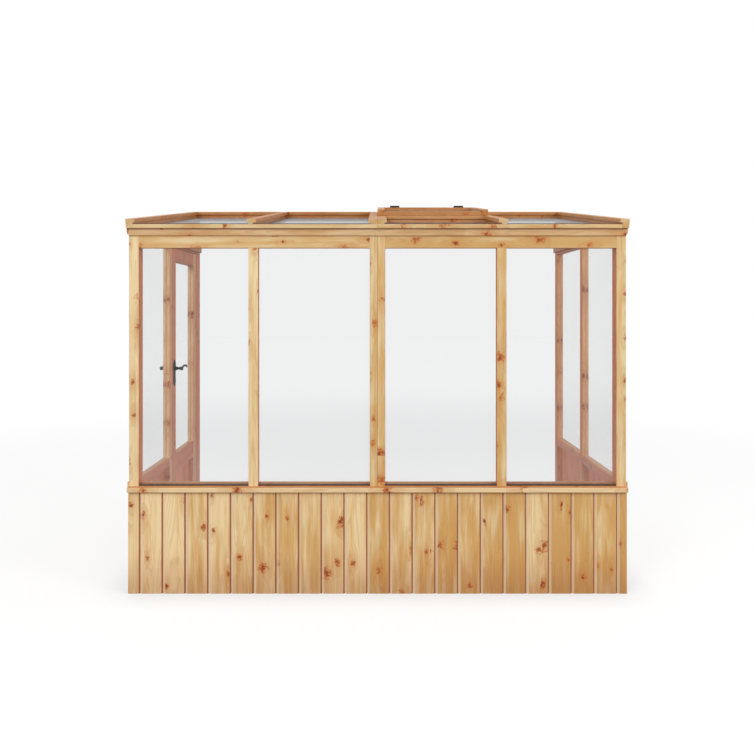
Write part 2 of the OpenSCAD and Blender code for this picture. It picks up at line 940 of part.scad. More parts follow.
module lever_arm() {
    steps = 20;
    linear_extrude(lever_t) polygon(concat(
        [for (i = [0:steps]) let (s = i / steps) [s * lever_l, lever_rise(s) + lever_half(s)]],
        [for (i = [steps:-1:0]) let (s = i / steps) [s * lever_l, lever_rise(s) - lever_half(s)]]));
    translate([lever_l - 1, 5, 0]) cylinder(r = 7, h = lever_t, $fn = 32);
    cylinder(r = 10, h = lever_t, $fn = 40);
}

module door_levers() {
    out_x = -half_w - plate_t - lever_off;
    in_x = -frame_in + plate_t + lever_off - lever_t;
    color(iron) {
        for (x = [out_x, in_x]) translate([x, spindle_y, lever_z]) rotate([90, 0, 90]) lever_arm();
        translate([out_x, spindle_y, lever_z]) rotate([0, 90, 0])
            cylinder(r = spindle_r, h = in_x - out_x + lever_t, $fn = 32);
        for (x = [-half_w - plate_t - seat_gap - 12, -frame_in + plate_t + seat_gap])
            translate([x, spindle_y, lever_z]) rotate([0, 90, 0]) cylinder(r = 10, h = 12, $fn = 40);
    }
}

front_sole_plate();
front_corner_posts();
front_centre_posts();
front_mullions();
front_top_rails();
front_mid_rails();
front_cladding();
front_sill();
front_fascia();
front_panes();
right_sole_plate();
right_front_stile();
right_mullion();
right_rear_stile();
right_head_rail();
right_mid_rails();
right_cladding();
right_panes();
right_gable_rail();
right_gable_boards();
left_sole_plate();
left_front_stile();
left_door_post();
left_hinge_jamb();
left_rear_stile();
left_head_rail();
left_mid_rail();
left_cladding();
left_pane();
left_gable_rail();
left_gable_boards();
sill_strips();
head_strips();
verge_strips();
verge_rafters();
centre_rafters();
middle_rafters();
eaves_rails();
rear_rails();
roof_panes();
vent_front_trimmer();
vent_rear_trimmer();
vent_hinge_rail();
vent_hinge_plates();
vent_stiles();
vent_front_rail();
vent_rear_rail();
vent_pane();
vent_hinge_leaves();
door_lock_stile();
door_hinge_stile();
door_top_rail();
door_mid_rail();
door_bottom_rail();
door_boards();
door_pane();
door_hinge_plates();
door_hinge_leaves();
door_lock_plates();
door_levers();
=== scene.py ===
# %% [markdown]
# Lean-to greenhouse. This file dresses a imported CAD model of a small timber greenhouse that
# stands against a house wall. The CAD solids give every size. Here they get planed pine with
# grain and knots, clear glass, black ironwork, a pale studio and a camera.

# %% Load the frame and keep its size
import json
import math
import random
import bmesh
import bpy
from mathutils import Matrix, Vector


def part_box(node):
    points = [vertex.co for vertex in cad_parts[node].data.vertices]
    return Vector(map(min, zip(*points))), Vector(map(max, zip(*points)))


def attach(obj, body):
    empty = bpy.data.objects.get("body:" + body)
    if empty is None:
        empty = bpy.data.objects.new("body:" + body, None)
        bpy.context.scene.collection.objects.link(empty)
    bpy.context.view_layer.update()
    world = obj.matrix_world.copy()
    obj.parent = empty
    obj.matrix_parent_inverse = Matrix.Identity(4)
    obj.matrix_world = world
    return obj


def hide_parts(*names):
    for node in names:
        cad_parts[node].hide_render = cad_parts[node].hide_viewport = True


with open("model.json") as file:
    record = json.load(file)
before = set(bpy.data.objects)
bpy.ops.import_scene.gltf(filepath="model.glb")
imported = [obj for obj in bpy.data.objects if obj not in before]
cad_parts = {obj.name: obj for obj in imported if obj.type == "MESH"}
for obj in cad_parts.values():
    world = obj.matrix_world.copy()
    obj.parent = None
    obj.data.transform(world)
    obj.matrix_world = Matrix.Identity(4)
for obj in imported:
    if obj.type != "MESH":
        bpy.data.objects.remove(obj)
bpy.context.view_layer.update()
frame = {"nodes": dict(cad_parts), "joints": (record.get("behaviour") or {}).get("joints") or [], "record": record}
nodes = frame["nodes"]
body_of_node = {n: b for b, names in frame["record"]["behaviour"]["bodies"].items() for n in names}
slot_of_node = {s["node"]: s["material_slot"] for s in frame["record"]["subparts"]}

# %% [markdown]
# Sizes that the looks need are measured on the CAD nodes, so that they follow the model. All
# that lies on the roof follows one slope, so a matrix is kept that turns a level thing onto the
# roof, and its inverse, which lays a piece of the roof level to measure it.

# %% Set the roof's slope and measure the wall's main levels
PITCH = math.radians(9.5)
front_low, front_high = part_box("front_corner_posts")
WALL_FRONT_Y = front_low.y
WALL_TOP_Z = front_high.z - (front_high.y - front_low.y) * math.tan(PITCH)
SLOPE = Matrix.Translation((0.0, WALL_FRONT_Y, WALL_TOP_Z)) @ Matrix.Rotation(PITCH, 4, "X")
UNSLOPE = SLOPE.inverted()
LEVEL = Matrix.Identity(4)
print("wall top at", round(WALL_TOP_Z, 3), "m, pitch", round(math.degrees(PITCH), 1))

# %% [markdown]
# Node groups keep one recipe in one place. A small helper makes a group with named sockets, and
# another adds a node and sets its values and links in one line.

# %% Helpers for node trees
FLOAT, COLOUR, VECTOR = "NodeSocketFloat", "NodeSocketColor", "NodeSocketVector"
GEOMETRY = "NodeSocketGeometry"


def new_group(name, inputs, outputs, kind="ShaderNodeTree"):
    """A node group with its own sockets; inputs are (name, socket type, default)."""
    group = bpy.data.node_groups.new(name, kind)
    for label, socket_type, default in inputs:
        s = group.interface.new_socket(name=label, in_out="INPUT", socket_type=socket_type)
        if default is not None:
            s.default_value = default
    for label, socket_type in outputs:
        group.interface.new_socket(name=label, in_out="OUTPUT", socket_type=socket_type)
    return group, group.nodes.new("NodeGroupInput"), group.nodes.new("NodeGroupOutput")


def feed(tree, node, links):
    """Links or sets a node's inputs; links is a list of (name or index, socket or value)."""
    for where, source in links:
        if isinstance(source, bpy.types.NodeSocket):
            tree.links.new(source, node.inputs[where])
        else:
            node.inputs[where].default_value = source
    return node


def add(tree, kind, links=(), **settings):
    """Adds a node with its settings, and feeds its inputs."""
    node = tree.nodes.new(kind)
    for key, value in settings.items():
        setattr(node, key, value)
    return feed(tree, node, links)


def maths(tree, operation, a, b=0.0, c=0.0, clamp=False):
    return add(tree, "ShaderNodeMath", [(0, a), (1, b), (2, c)], operation=operation,
               use_clamp=clamp).outputs[0]


def times(tree, a, b):
    return maths(tree, "MULTIPLY", a, b)


def times_plus(tree, a, factor, plus):
    return maths(tree, "MULTIPLY_ADD", a, factor, plus)


def vec(tree, operation, a, b=(0, 0, 0)):
    out = add(tree, "ShaderNodeVectorMath", [(0, a), (1, b)], operation=operation)
    return out.outputs["Value" if operation in ("LENGTH", "DOT_PRODUCT") else "Vector"]


def ramp(tree, value, low, high, to_low=0.0, to_high=1.0):
    """A smooth step of value from low to high."""
    return add(tree, "ShaderNodeMapRange", [
        ("Value", value), ("From Min", low), ("From Max", high), ("To Min", to_low),
        ("To Max", to_high)], interpolation_type="SMOOTHSTEP").outputs["Result"]


def blend(tree, factor, a, b, mode="MIX"):
    """Mixes colour b into colour a."""
    return add(tree, "ShaderNodeMix", [(0, factor), (6, a), (7, b)], data_type="RGBA",
               blend_type=mode).outputs[2]


def noise(tree, vector, scale, detail=2.0, rough=0.5):
    return add(tree, "ShaderNodeTexNoise", [("Vector", vector), ("Scale", scale),
               ("Detail", detail), ("Roughness", rough)]).outputs["Fac"]


def new_finish(name):
    """A new material, its tree, its Principled shader and the coordinates of a point."""
    material = bpy.data.materials.new(name)
    material.use_nodes = True
    tree = material.node_tree
    return material, tree, tree.nodes["Principled BSDF"], add(tree, "ShaderNodeTexCoord").outputs


print("node helpers ready")

# %% [markdown]
# Treated pine shows four things: soft patches of cream and gold; faint growth rings, which are
# the contour lines of a smooth field stretched along the trunk; fine fibres; and ragged orange
# knots where branches grew, with a dark red heart. The group reads a coordinate that runs along
# each timber, which the timbers get further down, so that every board has its own figure. The
# knots come first. They are round cells of a Voronoi pattern, and noise breaks their edge up
# into wisps.

# %% The knots of the pine figure
pine, g_in, g_out = new_group("Pine figure", [
    ("Grain", VECTOR, (0, 0, 0)), ("Tone", FLOAT, 0.5), ("Warmth", FLOAT, 0.0),
    ("Heart", FLOAT, 0.0), ("Stain", FLOAT, 0.0), ("Bleach", FLOAT, 0.0), ("Splash", FLOAT, 0.0),
    ("Light", COLOUR, (0.76, 0.57, 0.32, 1)),
    ("Mid", COLOUR, (0.62, 0.38, 0.14, 1)), ("Ring", COLOUR, (0.46, 0.24, 0.08, 1)),
    ("Knot amount", FLOAT, 0.5), ("Ring strength", FLOAT, 0.3),
], [("Color", COLOUR), ("Roughness", FLOAT), ("Height", FLOAT)])
asked = g_in.outputs
grain_at, tone = asked["Grain"], asked["Tone"]

# one chance of a knot in each cell of a pattern stretched along the timber
KNOT_CELLS = (4.4, 14.0, 0.0)
KNOT_R, KNOT_R_SPREAD = 0.010, 0.018
cell_at = vec(pine, "MULTIPLY", grain_at, KNOT_CELLS)
cells = add(pine, "ShaderNodeTexVoronoi", [("Vector", cell_at), ("Scale", 1.0),
            ("Randomness", 0.85)])
away = vec(pine, "DIVIDE", vec(pine, "SUBTRACT", cell_at, cells.outputs["Position"]),
           (KNOT_CELLS[0], KNOT_CELLS[1], 1.0))
chance = add(pine, "ShaderNodeSeparateColor", [("Color", cells.outputs["Color"])]).outputs
has_knot = maths(pine, "LESS_THAN", chance[0], asked["Knot amount"])
knot_r = times_plus(pine, maths(pine, "POWER", chance[1], 2.0), KNOT_R_SPREAD, KNOT_R)
reach, wide = [maths(pine, "DIVIDE", vec(pine, "LENGTH", vec(pine, "MULTIPLY", away, squash)),
                     knot_r) for squash in ((0.85, 1.0, 0.0), (0.3, 0.9, 0.0))]
shred = noise(pine, vec(pine, "MULTIPLY", grain_at, (85.0, 70.0, 70.0)), 1.0, 4.0, 0.7)
edge = maths(pine, "ADD", maths(pine, "SUBTRACT", 1.2, reach),
             times_plus(pine, shred, 4.0, -2.15))
knot_orange = times(pine, ramp(pine, edge, 0.0, 0.45), has_knot)
knot_heart = times(pine, ramp(pine, edge, 0.45, 1.1), has_knot)
halo = times(pine, ramp(pine, wide, 0.4, 2.2, 1.0, 0.0), has_knot)
print("knots made with", len(pine.nodes), "nodes")

# %% [markdown]
# The fibres wander a little, and the rings are pushed aside by the knots, as a trunk grows round
# its branches. A ring darkens slowly through late summer and ends sharply.

# %% The rings, streaks and fibres
RINGS = 26.0
wander = add(pine, "ShaderNodeTexNoise", [
    ("Vector", vec(pine, "MULTIPLY", grain_at, (1.4, 5.0, 5.0))), ("Scale", 1.0), ("Detail", 1.0)])
sway = vec(pine, "MULTIPLY", vec(pine, "SUBTRACT", wander.outputs["Color"], (0.5, 0.5, 0.5)),
           (0.0, 0.03, 0.03))
swayed = vec(pine, "ADD", grain_at, sway)


def stretched(along, across, detail, rough=0.5):
    """Noise along the swayed grain, with its own number of lumps per metre each way."""
    return noise(pine, vec(pine, "MULTIPLY", swayed, (along, across, across)), 1.0, detail, rough)


pushed = times_plus(pine, halo, 0.05, stretched(0.55, 11.0, 1.0))
phase = maths(pine, "FRACT", times(pine, pushed, RINGS))
late = times(pine, ramp(pine, phase, 0.35, 0.9), ramp(pine, phase, 0.9, 1.0, 1.0, 0.0))
streak = stretched(0.8, 38.0, 3.0, 0.6)
patch = stretched(4.0, 24.0, 2.0)
fibre = stretched(14.0, 900.0, 2.0)
print("figure made with", len(pine.nodes), "nodes")

# %% [markdown]
# Now the colours are laid over each other: gold on cream, the rings, the fine shade of the fibres, the painted
# shade at the foot, the red painted shade of faces turned away from the light and of timbers in shade, the knots,
# and the painted shade and painted highlight on the two sides of a V-joint. A high Tone means a pale timber.

# %% The colours of the pine figure
# Red tint of painted shade for faces turned away from the light.
FACE_SHADE_TINT = (0.93, 0.375, 0.235, 1)
# Red tint of painted shade for whole timbers in shade.
TIMBER_SHADE_TINT = (0.66, 0.405, 0.25, 1)
KNOT_HALO = (0.56, 0.24, 0.06, 1)
KNOT_ORANGE = (0.54, 0.15, 0.022, 1)
KNOT_DARK = (0.24, 0.035, 0.008, 1)
# A pale painted highlight for the lit slope of a V-joint, and a dark painted shade for its steep slope.
SLOPE_HIGHLIGHT_COLOUR = (0.88, 0.74, 0.54, 1)
GROOVE_SHADE_COLOUR = (0.35, 0.10, 0.032, 1)
golden = maths(pine, "ADD", patch, times(pine, streak, 0.75))
golden = times_plus(pine, tone, -0.28, golden)
base = blend(pine, ramp(pine, golden, 0.50, 0.98), asked["Light"], asked["Mid"])
base = blend(pine, times(pine, late, asked["Ring strength"]), base, asked["Ring"])
shade = times(pine, times_plus(pine, tone, 0.08, 0.96), times_plus(pine, fibre, 0.16, 0.92))
# Painted shade: darker towards the foot of the wall.
shade = times(pine, shade, maths(pine, "SUBTRACT", 1.0, asked["Splash"]))
grey = add(pine, "ShaderNodeCombineColor", [(0, shade), (1, shade), (2, shade)]).outputs[0]
base = blend(pine, 1.0, base, grey, "MULTIPLY")
# Painted shade: faces turned away from the light, and whole timbers in shade, are tinted redder.
for share, tint in ((asked["Warmth"], FACE_SHADE_TINT), (asked["Heart"], TIMBER_SHADE_TINT)):
    base = blend(pine, share, base, blend(pine, 1.0, base, tint, "MULTIPLY"))
# Besides the knots, this lays the painted highlight and the painted shade of the V-joint slopes.
for share, colour in ((times(pine, halo, 0.36), KNOT_HALO),
                      (times(pine, knot_orange, 0.85), KNOT_ORANGE), (knot_heart, KNOT_DARK),
                      (times(pine, asked["Bleach"], 0.6), SLOPE_HIGHLIGHT_COLOUR),
                      (asked["Stain"], GROOVE_SHADE_COLOUR)):
    base = blend(pine, share, base, colour)
feed(pine, g_out, [
    ("Color", base),
    ("Roughness", times_plus(pine, knot_heart, -0.14, times_plus(pine, late, -0.08, 0.52))),
    ("Height", times_plus(pine, knot_heart, 0.6, times_plus(
        pine, late, 0.5, times(pine, fibre, 0.3))))])
print("pine group nodes:", len(pine.nodes))

# %% [markdown]
# In the photograph the faces turned to the front are cream and gold, and all the other faces, such as the reveals,
# the top of the sill and the insides of the ends, are redder. Here that red is painted shade for faces turned away
# from the light. A second group finds those faces from the way the surface points in the part's own frame, so
# nothing depends on the camera. It also finds the steep side of each V-joint, which gets a dark line of painted
# shade, its other side, which gets a pale painted highlight, the tops, which get painted shade, and the foot of
# the wall, which gets redder and darker painted shade.

# %% Find the faces for painted shade, the shaded and highlighted joint slopes and the foot
faces, _, f_out = new_group("Heartwood faces", [], [
    ("Warmth", FLOAT), ("Joint", FLOAT), ("Slope", FLOAT), ("Up", FLOAT), ("Foot", FLOAT)])
where = add(faces, "ShaderNodeTexCoord")
facing, at = [add(faces, "ShaderNodeSeparateXYZ", [(0, where.outputs[label])]).outputs
              for label in ("Normal", "Object")]
# Painted shade on faces not turned to the front, strongest on the insides of the ends.
side_shade = times(faces, ramp(faces, facing[1], -0.85, -0.45),
              ramp(faces, facing[1], 0.4, 0.8, 1.0, 0.55))
side_shade = maths(faces, "MAXIMUM", side_shade, ramp(faces, at[1], 0.02, 0.05, 0.0, 0.5))
inside = ramp(faces, times(faces, facing[0], at[0]), 0.92, 1.04, 1.0, 0.22)
# Painted shade, redder, at the foot of the wall.
foot_shade = ramp(faces, at[2], 0.0, 0.28, 0.24, 0.0)
# The steep slope of a V-joint gets painted shade, its gentle slope a painted highlight.
steep = maths(faces, "ABSOLUTE", times(faces, facing[0], facing[1]))
feed(faces, f_out, [
    ("Warmth", maths(faces, "MAXIMUM", times(faces, side_shade, inside), foot_shade)),
    ("Joint", ramp(faces, steep, 0.40, 0.46)),
    ("Slope", times(faces, ramp(faces, steep, 0.25, 0.33), ramp(faces, steep, 0.39, 0.42, 1, 0))),
    # Tops get painted shade.
    ("Up", ramp(faces, facing[2], 0.6, 0.9, 0.0, 0.85)),
    # Painted shade, darker, at the foot of the wall.
    ("Foot", ramp(faces, at[2], 0.0, 0.22, 0.20, 0.0))])
print("face group nodes:", len(faces.nodes))

# %% [markdown]
# The treated timber is satin: the Principled shader stays in the material, and the groups only feed its colour,
# roughness and bump. End grain is rougher and a little darker, because the cut fibres drink the treatment. It is
# found by comparing the surface's direction with the way the timber runs. The red shade attribute says how much
# painted red shade a whole timber takes: above 1 its ends take it too, and below 0 its side faces take less of the
# painted shade, which stands in for more light on them.

# %% Make the pine finishes
def pine_finish(name, light, mid, ring, knots, rings, joint=0.0):
    material, tree, shader, where = new_finish(name)
    mark = {label: add(tree, "ShaderNodeAttribute", attribute_name=label).outputs
            for label in ("grain", "tone", "run", "heart")}
    side = add(tree, "ShaderNodeGroup", node_tree=faces).outputs
    along = maths(tree, "ABSOLUTE", vec(tree, "DOT_PRODUCT", where["Normal"],
                                        mark["run"]["Vector"]))
    end_grain = ramp(tree, along, 0.75, 0.95)
    # Painted red shade for whole timbers; below 0 a timber keeps less of the face shade, as painted light.
    heart = mark["heart"]["Fac"]
    red_shade_share = maths(tree, "MAXIMUM", maths(tree, "MULTIPLY_ADD", heart, 5.0, -5.0, clamp=True),
                    times(tree, heart, maths(tree, "SUBTRACT", 1.0, end_grain)), clamp=True)
    # Tops take the painted red shade as well.
    red_shade_share = maths(tree, "MAXIMUM", red_shade_share, side["Up"])
    face_shade_kept = maths(tree, "ADD", maths(tree, "MINIMUM", heart, 0.0), 1.0)
    face_shade = times(tree, side["Warmth"], maths(tree, "SUBTRACT", 1.0, red_shade_share))
    figure = add(tree, "ShaderNodeGroup", [
        ("Grain", mark["grain"]["Vector"]), ("Tone", mark["tone"]["Fac"]), ("Heart", red_shade_share),
        ("Warmth", times(tree, face_shade, face_shade_kept)), ("Stain", times(tree, side["Joint"], joint)),
        ("Bleach", times(tree, side["Slope"], joint)), ("Splash", side["Foot"]),
        ("Light", (*light, 1)), ("Mid", (*mid, 1)), ("Ring", (*ring, 1)),
        ("Knot amount", knots), ("Ring strength", rings)], node_tree=pine).outputs
    bump = add(tree, "ShaderNodeBump", [("Strength", 0.25), ("Distance", 0.0006),
               ("Height", figure["Height"])])
    feed(tree, shader, [
        ("Base Color", blend(tree, times(tree, end_grain, 0.15), figure["Color"], (*ring, 1))),
        ("Roughness", times_plus(tree, end_grain, 0.2, figure["Roughness"])),
        ("Normal", bump.outputs["Normal"]), ("IOR", 1.45)])
    return material


PINE = {
    "frame_pine": pine_finish("Pine, frame timber", (0.82, 0.64, 0.36), (0.68, 0.41, 0.145),
                              (0.46, 0.23, 0.07), knots=0.75, rings=0.25),
    "matchboard_pine": pine_finish("Pine, matchboard", (0.88, 0.665, 0.365), (0.71, 0.395, 0.125),
                                   (0.45, 0.23, 0.07), knots=0.42, rings=0.24, joint=0.95),
    "trim_pine": pine_finish("Pine, trim", (0.79, 0.60, 0.34), (0.64, 0.39, 0.15),
                             (0.45, 0.23, 0.07), knots=0.65, rings=0.25),
}
print("pine finishes:", sorted(PINE))

# %% [markdown]
# Window glass is clear with a faint grey cast. It is a thin dielectric whose alpha lets the view
# and the sunlight through, because tracing real refraction would darken the floor behind it.
# A pane seen at a slant, like those in the two ends, gets a pale veil of painted reflection. Seen along its
# surface, as the roof is, it gets a grey-blue painted reflection of the sky from its tint. A Layer Weight node
# steers both. Towards its foot a pane gets a little more of a pale painted reflection. The small pane in the vent
# is clean and lies low in its frame, so it gets hardly any painted reflection of the sky. Light on its way to the
# timber passes the panes almost whole, which a Light Path node sees to.

# %% Make the glass
# The tint is also the grey-blue painted reflection of the sky on panes seen along their surface; the pale colour
# is painted reflection on panes seen aslant and near their foot.
GLASS_TINT, PALE_REFLECTION = (0.18, 0.22, 0.24, 1), (0.88, 0.89, 0.90, 1)


def glass_finish(name, veil, slant_reflection_veil, sky_reflection_veil, sky_film):
    """Clear glass; the veils say how much it hides when seen straight, and how much painted reflection it shows
    aslant and along.
    """
    material, tree, shader, where = new_finish(name)
    slant = add(tree, "ShaderNodeLayerWeight", [("Blend", 0.5)]).outputs["Facing"]
    # Painted reflection: a pale veil on panes seen aslant, and the sky on panes seen along their surface.
    grazing = ramp(tree, slant, 0.80, 0.97)
    slant_reflection = maths(tree, "SUBTRACT", ramp(tree, slant, 0.55, 0.76), grazing, clamp=True)
    height = add(tree, "ShaderNodeSeparateXYZ", [(0, where["Object"])]).outputs[2]
    # Painted reflection, stronger and paler towards the foot of a pane.
    low_reflection = ramp(tree, height, 0.82, 1.08, 0.028, 0.0)
    foot_reflection = ramp(tree, height, 0.56, 0.78, 1.0, 0.0)
    veils = times_plus(tree, slant_reflection, slant_reflection_veil - veil, veil)
    veils = times_plus(tree, grazing, sky_reflection_veil - veil, veils)
    veils = maths(tree, "ADD", times_plus(tree, foot_reflection, 0.012, low_reflection), veils)
    rays = add(tree, "ShaderNodeLightPath").outputs
    lighting = maths(tree, "MAXIMUM", rays["Is Shadow Ray"], rays["Is Diffuse Ray"])
    smear = noise(tree, vec(tree, "MULTIPLY", where["Object"], (1.0, 1.0, 0.6)), 6.0, 3.0)
    feed(tree, shader, [
        ("Base Color", blend(tree, times_plus(tree, foot_reflection, 0.3, slant_reflection), GLASS_TINT, PALE_REFLECTION)),
        ("Alpha", times(tree, veils, times_plus(tree, lighting, -0.8, 1.0))),
        ("Roughness", maths(tree, "ADD", times(tree, grazing, sky_film),
                            ramp(tree, smear, 0.3, 0.75, 0.015, 0.06))),
        ("IOR", 1.5)])
    return material


GLASS = glass_finish("Clear window glass", 0.089, 0.105, 0.5, 0.38)
VENT_GLASS = glass_finish("Clean vent glass", 0.085, 0.10, 0.12, 0.0)
print("glass:", GLASS.name, "and", VENT_GLASS.name)

# %% [markdown]
# The other finishes share one recipe: soft blotches blend two colours and two degrees of roughness. The ironwork
# is black-painted forged iron, dull and a little greyer in places, with the shallow dents of the hammer as a bump.
# Nails are galvanised. Putty is tinted to suit the pine, and the seals and keyholes are nearly black, as painted
# shade.

# %% Make the iron, the putty and the other plain finishes
def blotchy_finish(name, one, other, lumps, detail=3.0, rough=0.5, spread=(0.3, 0.7),
                   gloss=(0.3, 0.7, 0.5, 0.7), dents=False, **constants):
    """Noise blends two colours over its spread, and sets the roughness by the gloss ramp."""
    material, tree, shader, where = new_finish(name)
    blotch = noise(tree, where["Object"], lumps, detail, rough)
    share = ramp(tree, blotch, *spread) if spread else blotch
    feed(tree, shader, [("Base Color", blend(tree, share, (*one, 1), (*other, 1))),
                        ("Roughness", ramp(tree, blotch, *gloss)), *constants.items()])
    if dents:
        hammer = add(tree, "ShaderNodeTexVoronoi", [("Vector", where["Object"]), ("Scale", 130.0)])
        bump = add(tree, "ShaderNodeBump", [("Strength", 0.3), ("Distance", 0.0008),
                   ("Height", hammer.outputs["Distance"])])
        feed(tree, shader, [("Normal", bump.outputs["Normal"])])
    return material


IRON = blotchy_finish("Black iron", (0.017, 0.017, 0.019), (0.045, 0.043, 0.042), 60.0, rough=0.6,
                      spread=(0.35, 0.75), gloss=(0.3, 0.7, 0.46, 0.60), dents=True,
                      **{"Metallic": 0.15, "Specular IOR Level": 0.2})
GALVANISED = blotchy_finish("Galvanised steel", (0.30, 0.29, 0.27), (0.52, 0.51, 0.48), 700.0,
                            detail=2.0, spread=None, gloss=(0.2, 0.8, 0.4, 0.62), Metallic=0.7)
PUTTY = blotchy_finish("Linseed putty", (0.49, 0.26, 0.13), (0.38, 0.185, 0.085), 45.0)
PALE_PUTTY = blotchy_finish("Pale putty", (0.66, 0.40, 0.21), (0.56, 0.31, 0.15), 45.0)
# Nearly black: painted shade of the gaps.
SHADE_SEAL = blotchy_finish("Dark glazing seal", (0.035, 0.022, 0.018), (0.075, 0.045, 0.035), 45.0)
# Nearly black: painted shade inside the keyholes.
KEYHOLE_SHADE = blotchy_finish("Keyhole shade", (0.004, 0.004, 0.004), (0.01, 0.009, 0.009), 45.0)
print("plain finishes ready, from", IRON.name, "to", KEYHOLE_SHADE.name)

# %% [markdown]
# A CAD node arrives as loose triangles, and often holds several separate solids. These helpers
# copy a node with its triangles joined, tell its solids apart, and turn a finished mesh into a
# piece of the scene.

# %% Helpers for meshes
MERGE_GAP = 2e-5
SMOOTH_BELOW = math.radians(35)


def put_down(name, data):
    """A new object in the scene."""
    thing = bpy.data.objects.new(name, data)
    bpy.context.scene.collection.objects.link(thing)
    return thing


def smooth_over(data):
    data.shade_smooth()
    data.set_sharp_from_angle(angle=SMOOTH_BELOW)


def joined_copy(name):
    """A copy of a CAD node's mesh with its triangles joined."""
    mesh = bmesh.new()
    mesh.from_mesh(nodes[name].data)
    bmesh.ops.remove_doubles(mesh, verts=mesh.verts, dist=MERGE_GAP)
    return mesh


def mesh_piece(mesh, name, finish, smooth=True):
    """Turns a bmesh into a piece with one finish."""
    data = bpy.data.meshes.new(name)
    mesh.to_mesh(data)
    mesh.free()
    if smooth:
        smooth_over(data)
    data.materials.append(finish)
    return put_down(name, data)


def islands(mesh):
    """Lists of vertex numbers, one list for each separate solid."""
    group = list(range(len(mesh.verts)))

    def top(i):
        while group[i] != i:
            group[i] = group[group[i]]
            i = group[i]
        return i

    for edge in mesh.edges:
        a, b = top(edge.verts[0].index), top(edge.verts[1].index)
        if a != b:
            group[max(a, b)] = min(a, b)
    found = {}
    for v in mesh.verts:
        found.setdefault(top(v.index), []).append(v.index)
    return [found[k] for k in sorted(found)]


def corners(points):
    """The lowest and highest corner of the box round some points."""
    return [Vector([pick(p[k] for p in points) for k in range(3)]) for pick in (min, max)]


def solids(name, turn=LEVEL):
    """The lowest and highest corner of every separate solid of a node, after a turn."""
    mesh = joined_copy(name)
    mesh.verts.ensure_lookup_table()
    boxes = [corners([turn @ mesh.verts[i].co for i in part]) for part in islands(mesh)]
    mesh.free()
    return boxes


print("mesh helpers ready")

# %% [markdown]
# Sawn and planed timber has its sharp corners taken off, and that thin arris catches the light.
# Each CAD node is copied, flat faces are made whole, and a narrow Bevel is added. Each separate timber in a node
# also gets four attributes: where a point lies along and across it, which way it runs, how pale it is, partly as
# painted light, and how much painted red shade it takes. Some timbers are redder or paler than others in the
# photograph: here the red is painted shade, and part of the paleness is painted light. Painted light falling from
# the left makes the front turn more golden from left to right.

# %% Mark every timber with its own grain and tone
ROOF_WORDS = ("rafter", "eaves", "rear_rails", "vent_", "verge")
# How much painted red shade each timber takes; below 0 a timber takes less painted shade on its side faces, as
# painted light.
SHADE_RED_BY_NAME = {"front_fascia": 0.32, "front_mid_rails": 1.0, "head_strips": 0.8, "verge_strips": 0.5,
         "rafter": 1.0, "rear_rails": 0.9, "trimmer": 0.5, "vent_stiles": 1.2,
         "vent_front_rail": 1.2, "vent_rear_rail": 1.2, "vent_hinge_rail": 1.2,
         "left_door_post": -0.3, "door_hinge_stile": -0.3}
# Extra paleness: painted light on the corner posts, the door post and the hinge stile; paler timber in the eaves
# and the sill.
PALE_AND_LIT = {"front_corner_posts": 0.3, "eaves_rails": 0.5, "front_sill": 0.8, "left_door_post": 0.7,
        "door_hinge_stile": 0.5}
# Painted light from the left: the front is paler on the left and more golden on the right.
LIGHT_FROM_LEFT = 0.45
GRAIN_SHIFT = (3, 40)
dice = random.Random(20260731)


def mark_timbers(mesh, turn, heart, extra_pale_and_lit, light_drift):
    """Writes the grain, run, tone and painted red shade attributes; returns how many timbers there are."""
    layers = mesh.verts.layers
    grain_layer, run_layer = layers.float_vector.new("grain"), layers.float_vector.new("run")
    tone_layer, shade_red_layer = layers.float.new("tone"), layers.float.new("heart")
    back = turn.to_3x3().inverted()
    mesh.verts.ensure_lookup_table()
    parts = islands(mesh)
    for part in parts:
        places = {i: turn @ mesh.verts[i].co for i in part}
        low, high = corners(places.values())
        order = sorted(range(3), key=lambda k: low[k] - high[k])
        axis = Vector([1.0 if k == order[0] else 0.0 for k in range(3)])
        offset = Vector([dice.uniform(*GRAIN_SHIFT) for _ in range(3)])
        # The tone carries random paleness plus painted light, from the left and on some timbers.
        pale = dice.random() + extra_pale_and_lit - light_drift * (low.x + high.x) / 2
        for i, p in places.items():
            v = mesh.verts[i]
            v[grain_layer] = Vector([p[k] - low[k] for k in order]) + offset
            v[run_layer] = back @ axis
            v[tone_layer] = pale
            v[shade_red_layer] = heart
    return len(parts)


print("marks ready for", sum(slot in PINE for slot in slot_of_node.values()), "timber nodes")

# %% [markdown]
# Hinges and lock plates are pressed and forged, so their edges are a little round and their
# knuckles smooth. The same way of dressing a node serves for them, with a smaller ease.

# %% Dress the timbers and the ironwork
TIMBER_EASE, IRON_EASE = 0.0012, 0.0004


def dress(name, label, finish, ease_by, ease_above, mark=None):
    """An eased copy of a CAD node that stands in its place."""
    mesh = joined_copy(name)
    bmesh.ops.dissolve_limit(mesh, angle_limit=math.radians(1), verts=mesh.verts,
                             edges=mesh.edges)
    count = mark(mesh) if mark else 1
    piece = mesh_piece(mesh, name + label, finish, smooth=mark is None)
    ease = piece.modifiers.new("Ease", "BEVEL")
    ease.width, ease.segments, ease.limit_method = ease_by, 2, "ANGLE"
    ease.angle_limit = math.radians(ease_above)
    ease.use_clamp_overlap = True
    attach(piece, body_of_node[name])
    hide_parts(name)
    return count


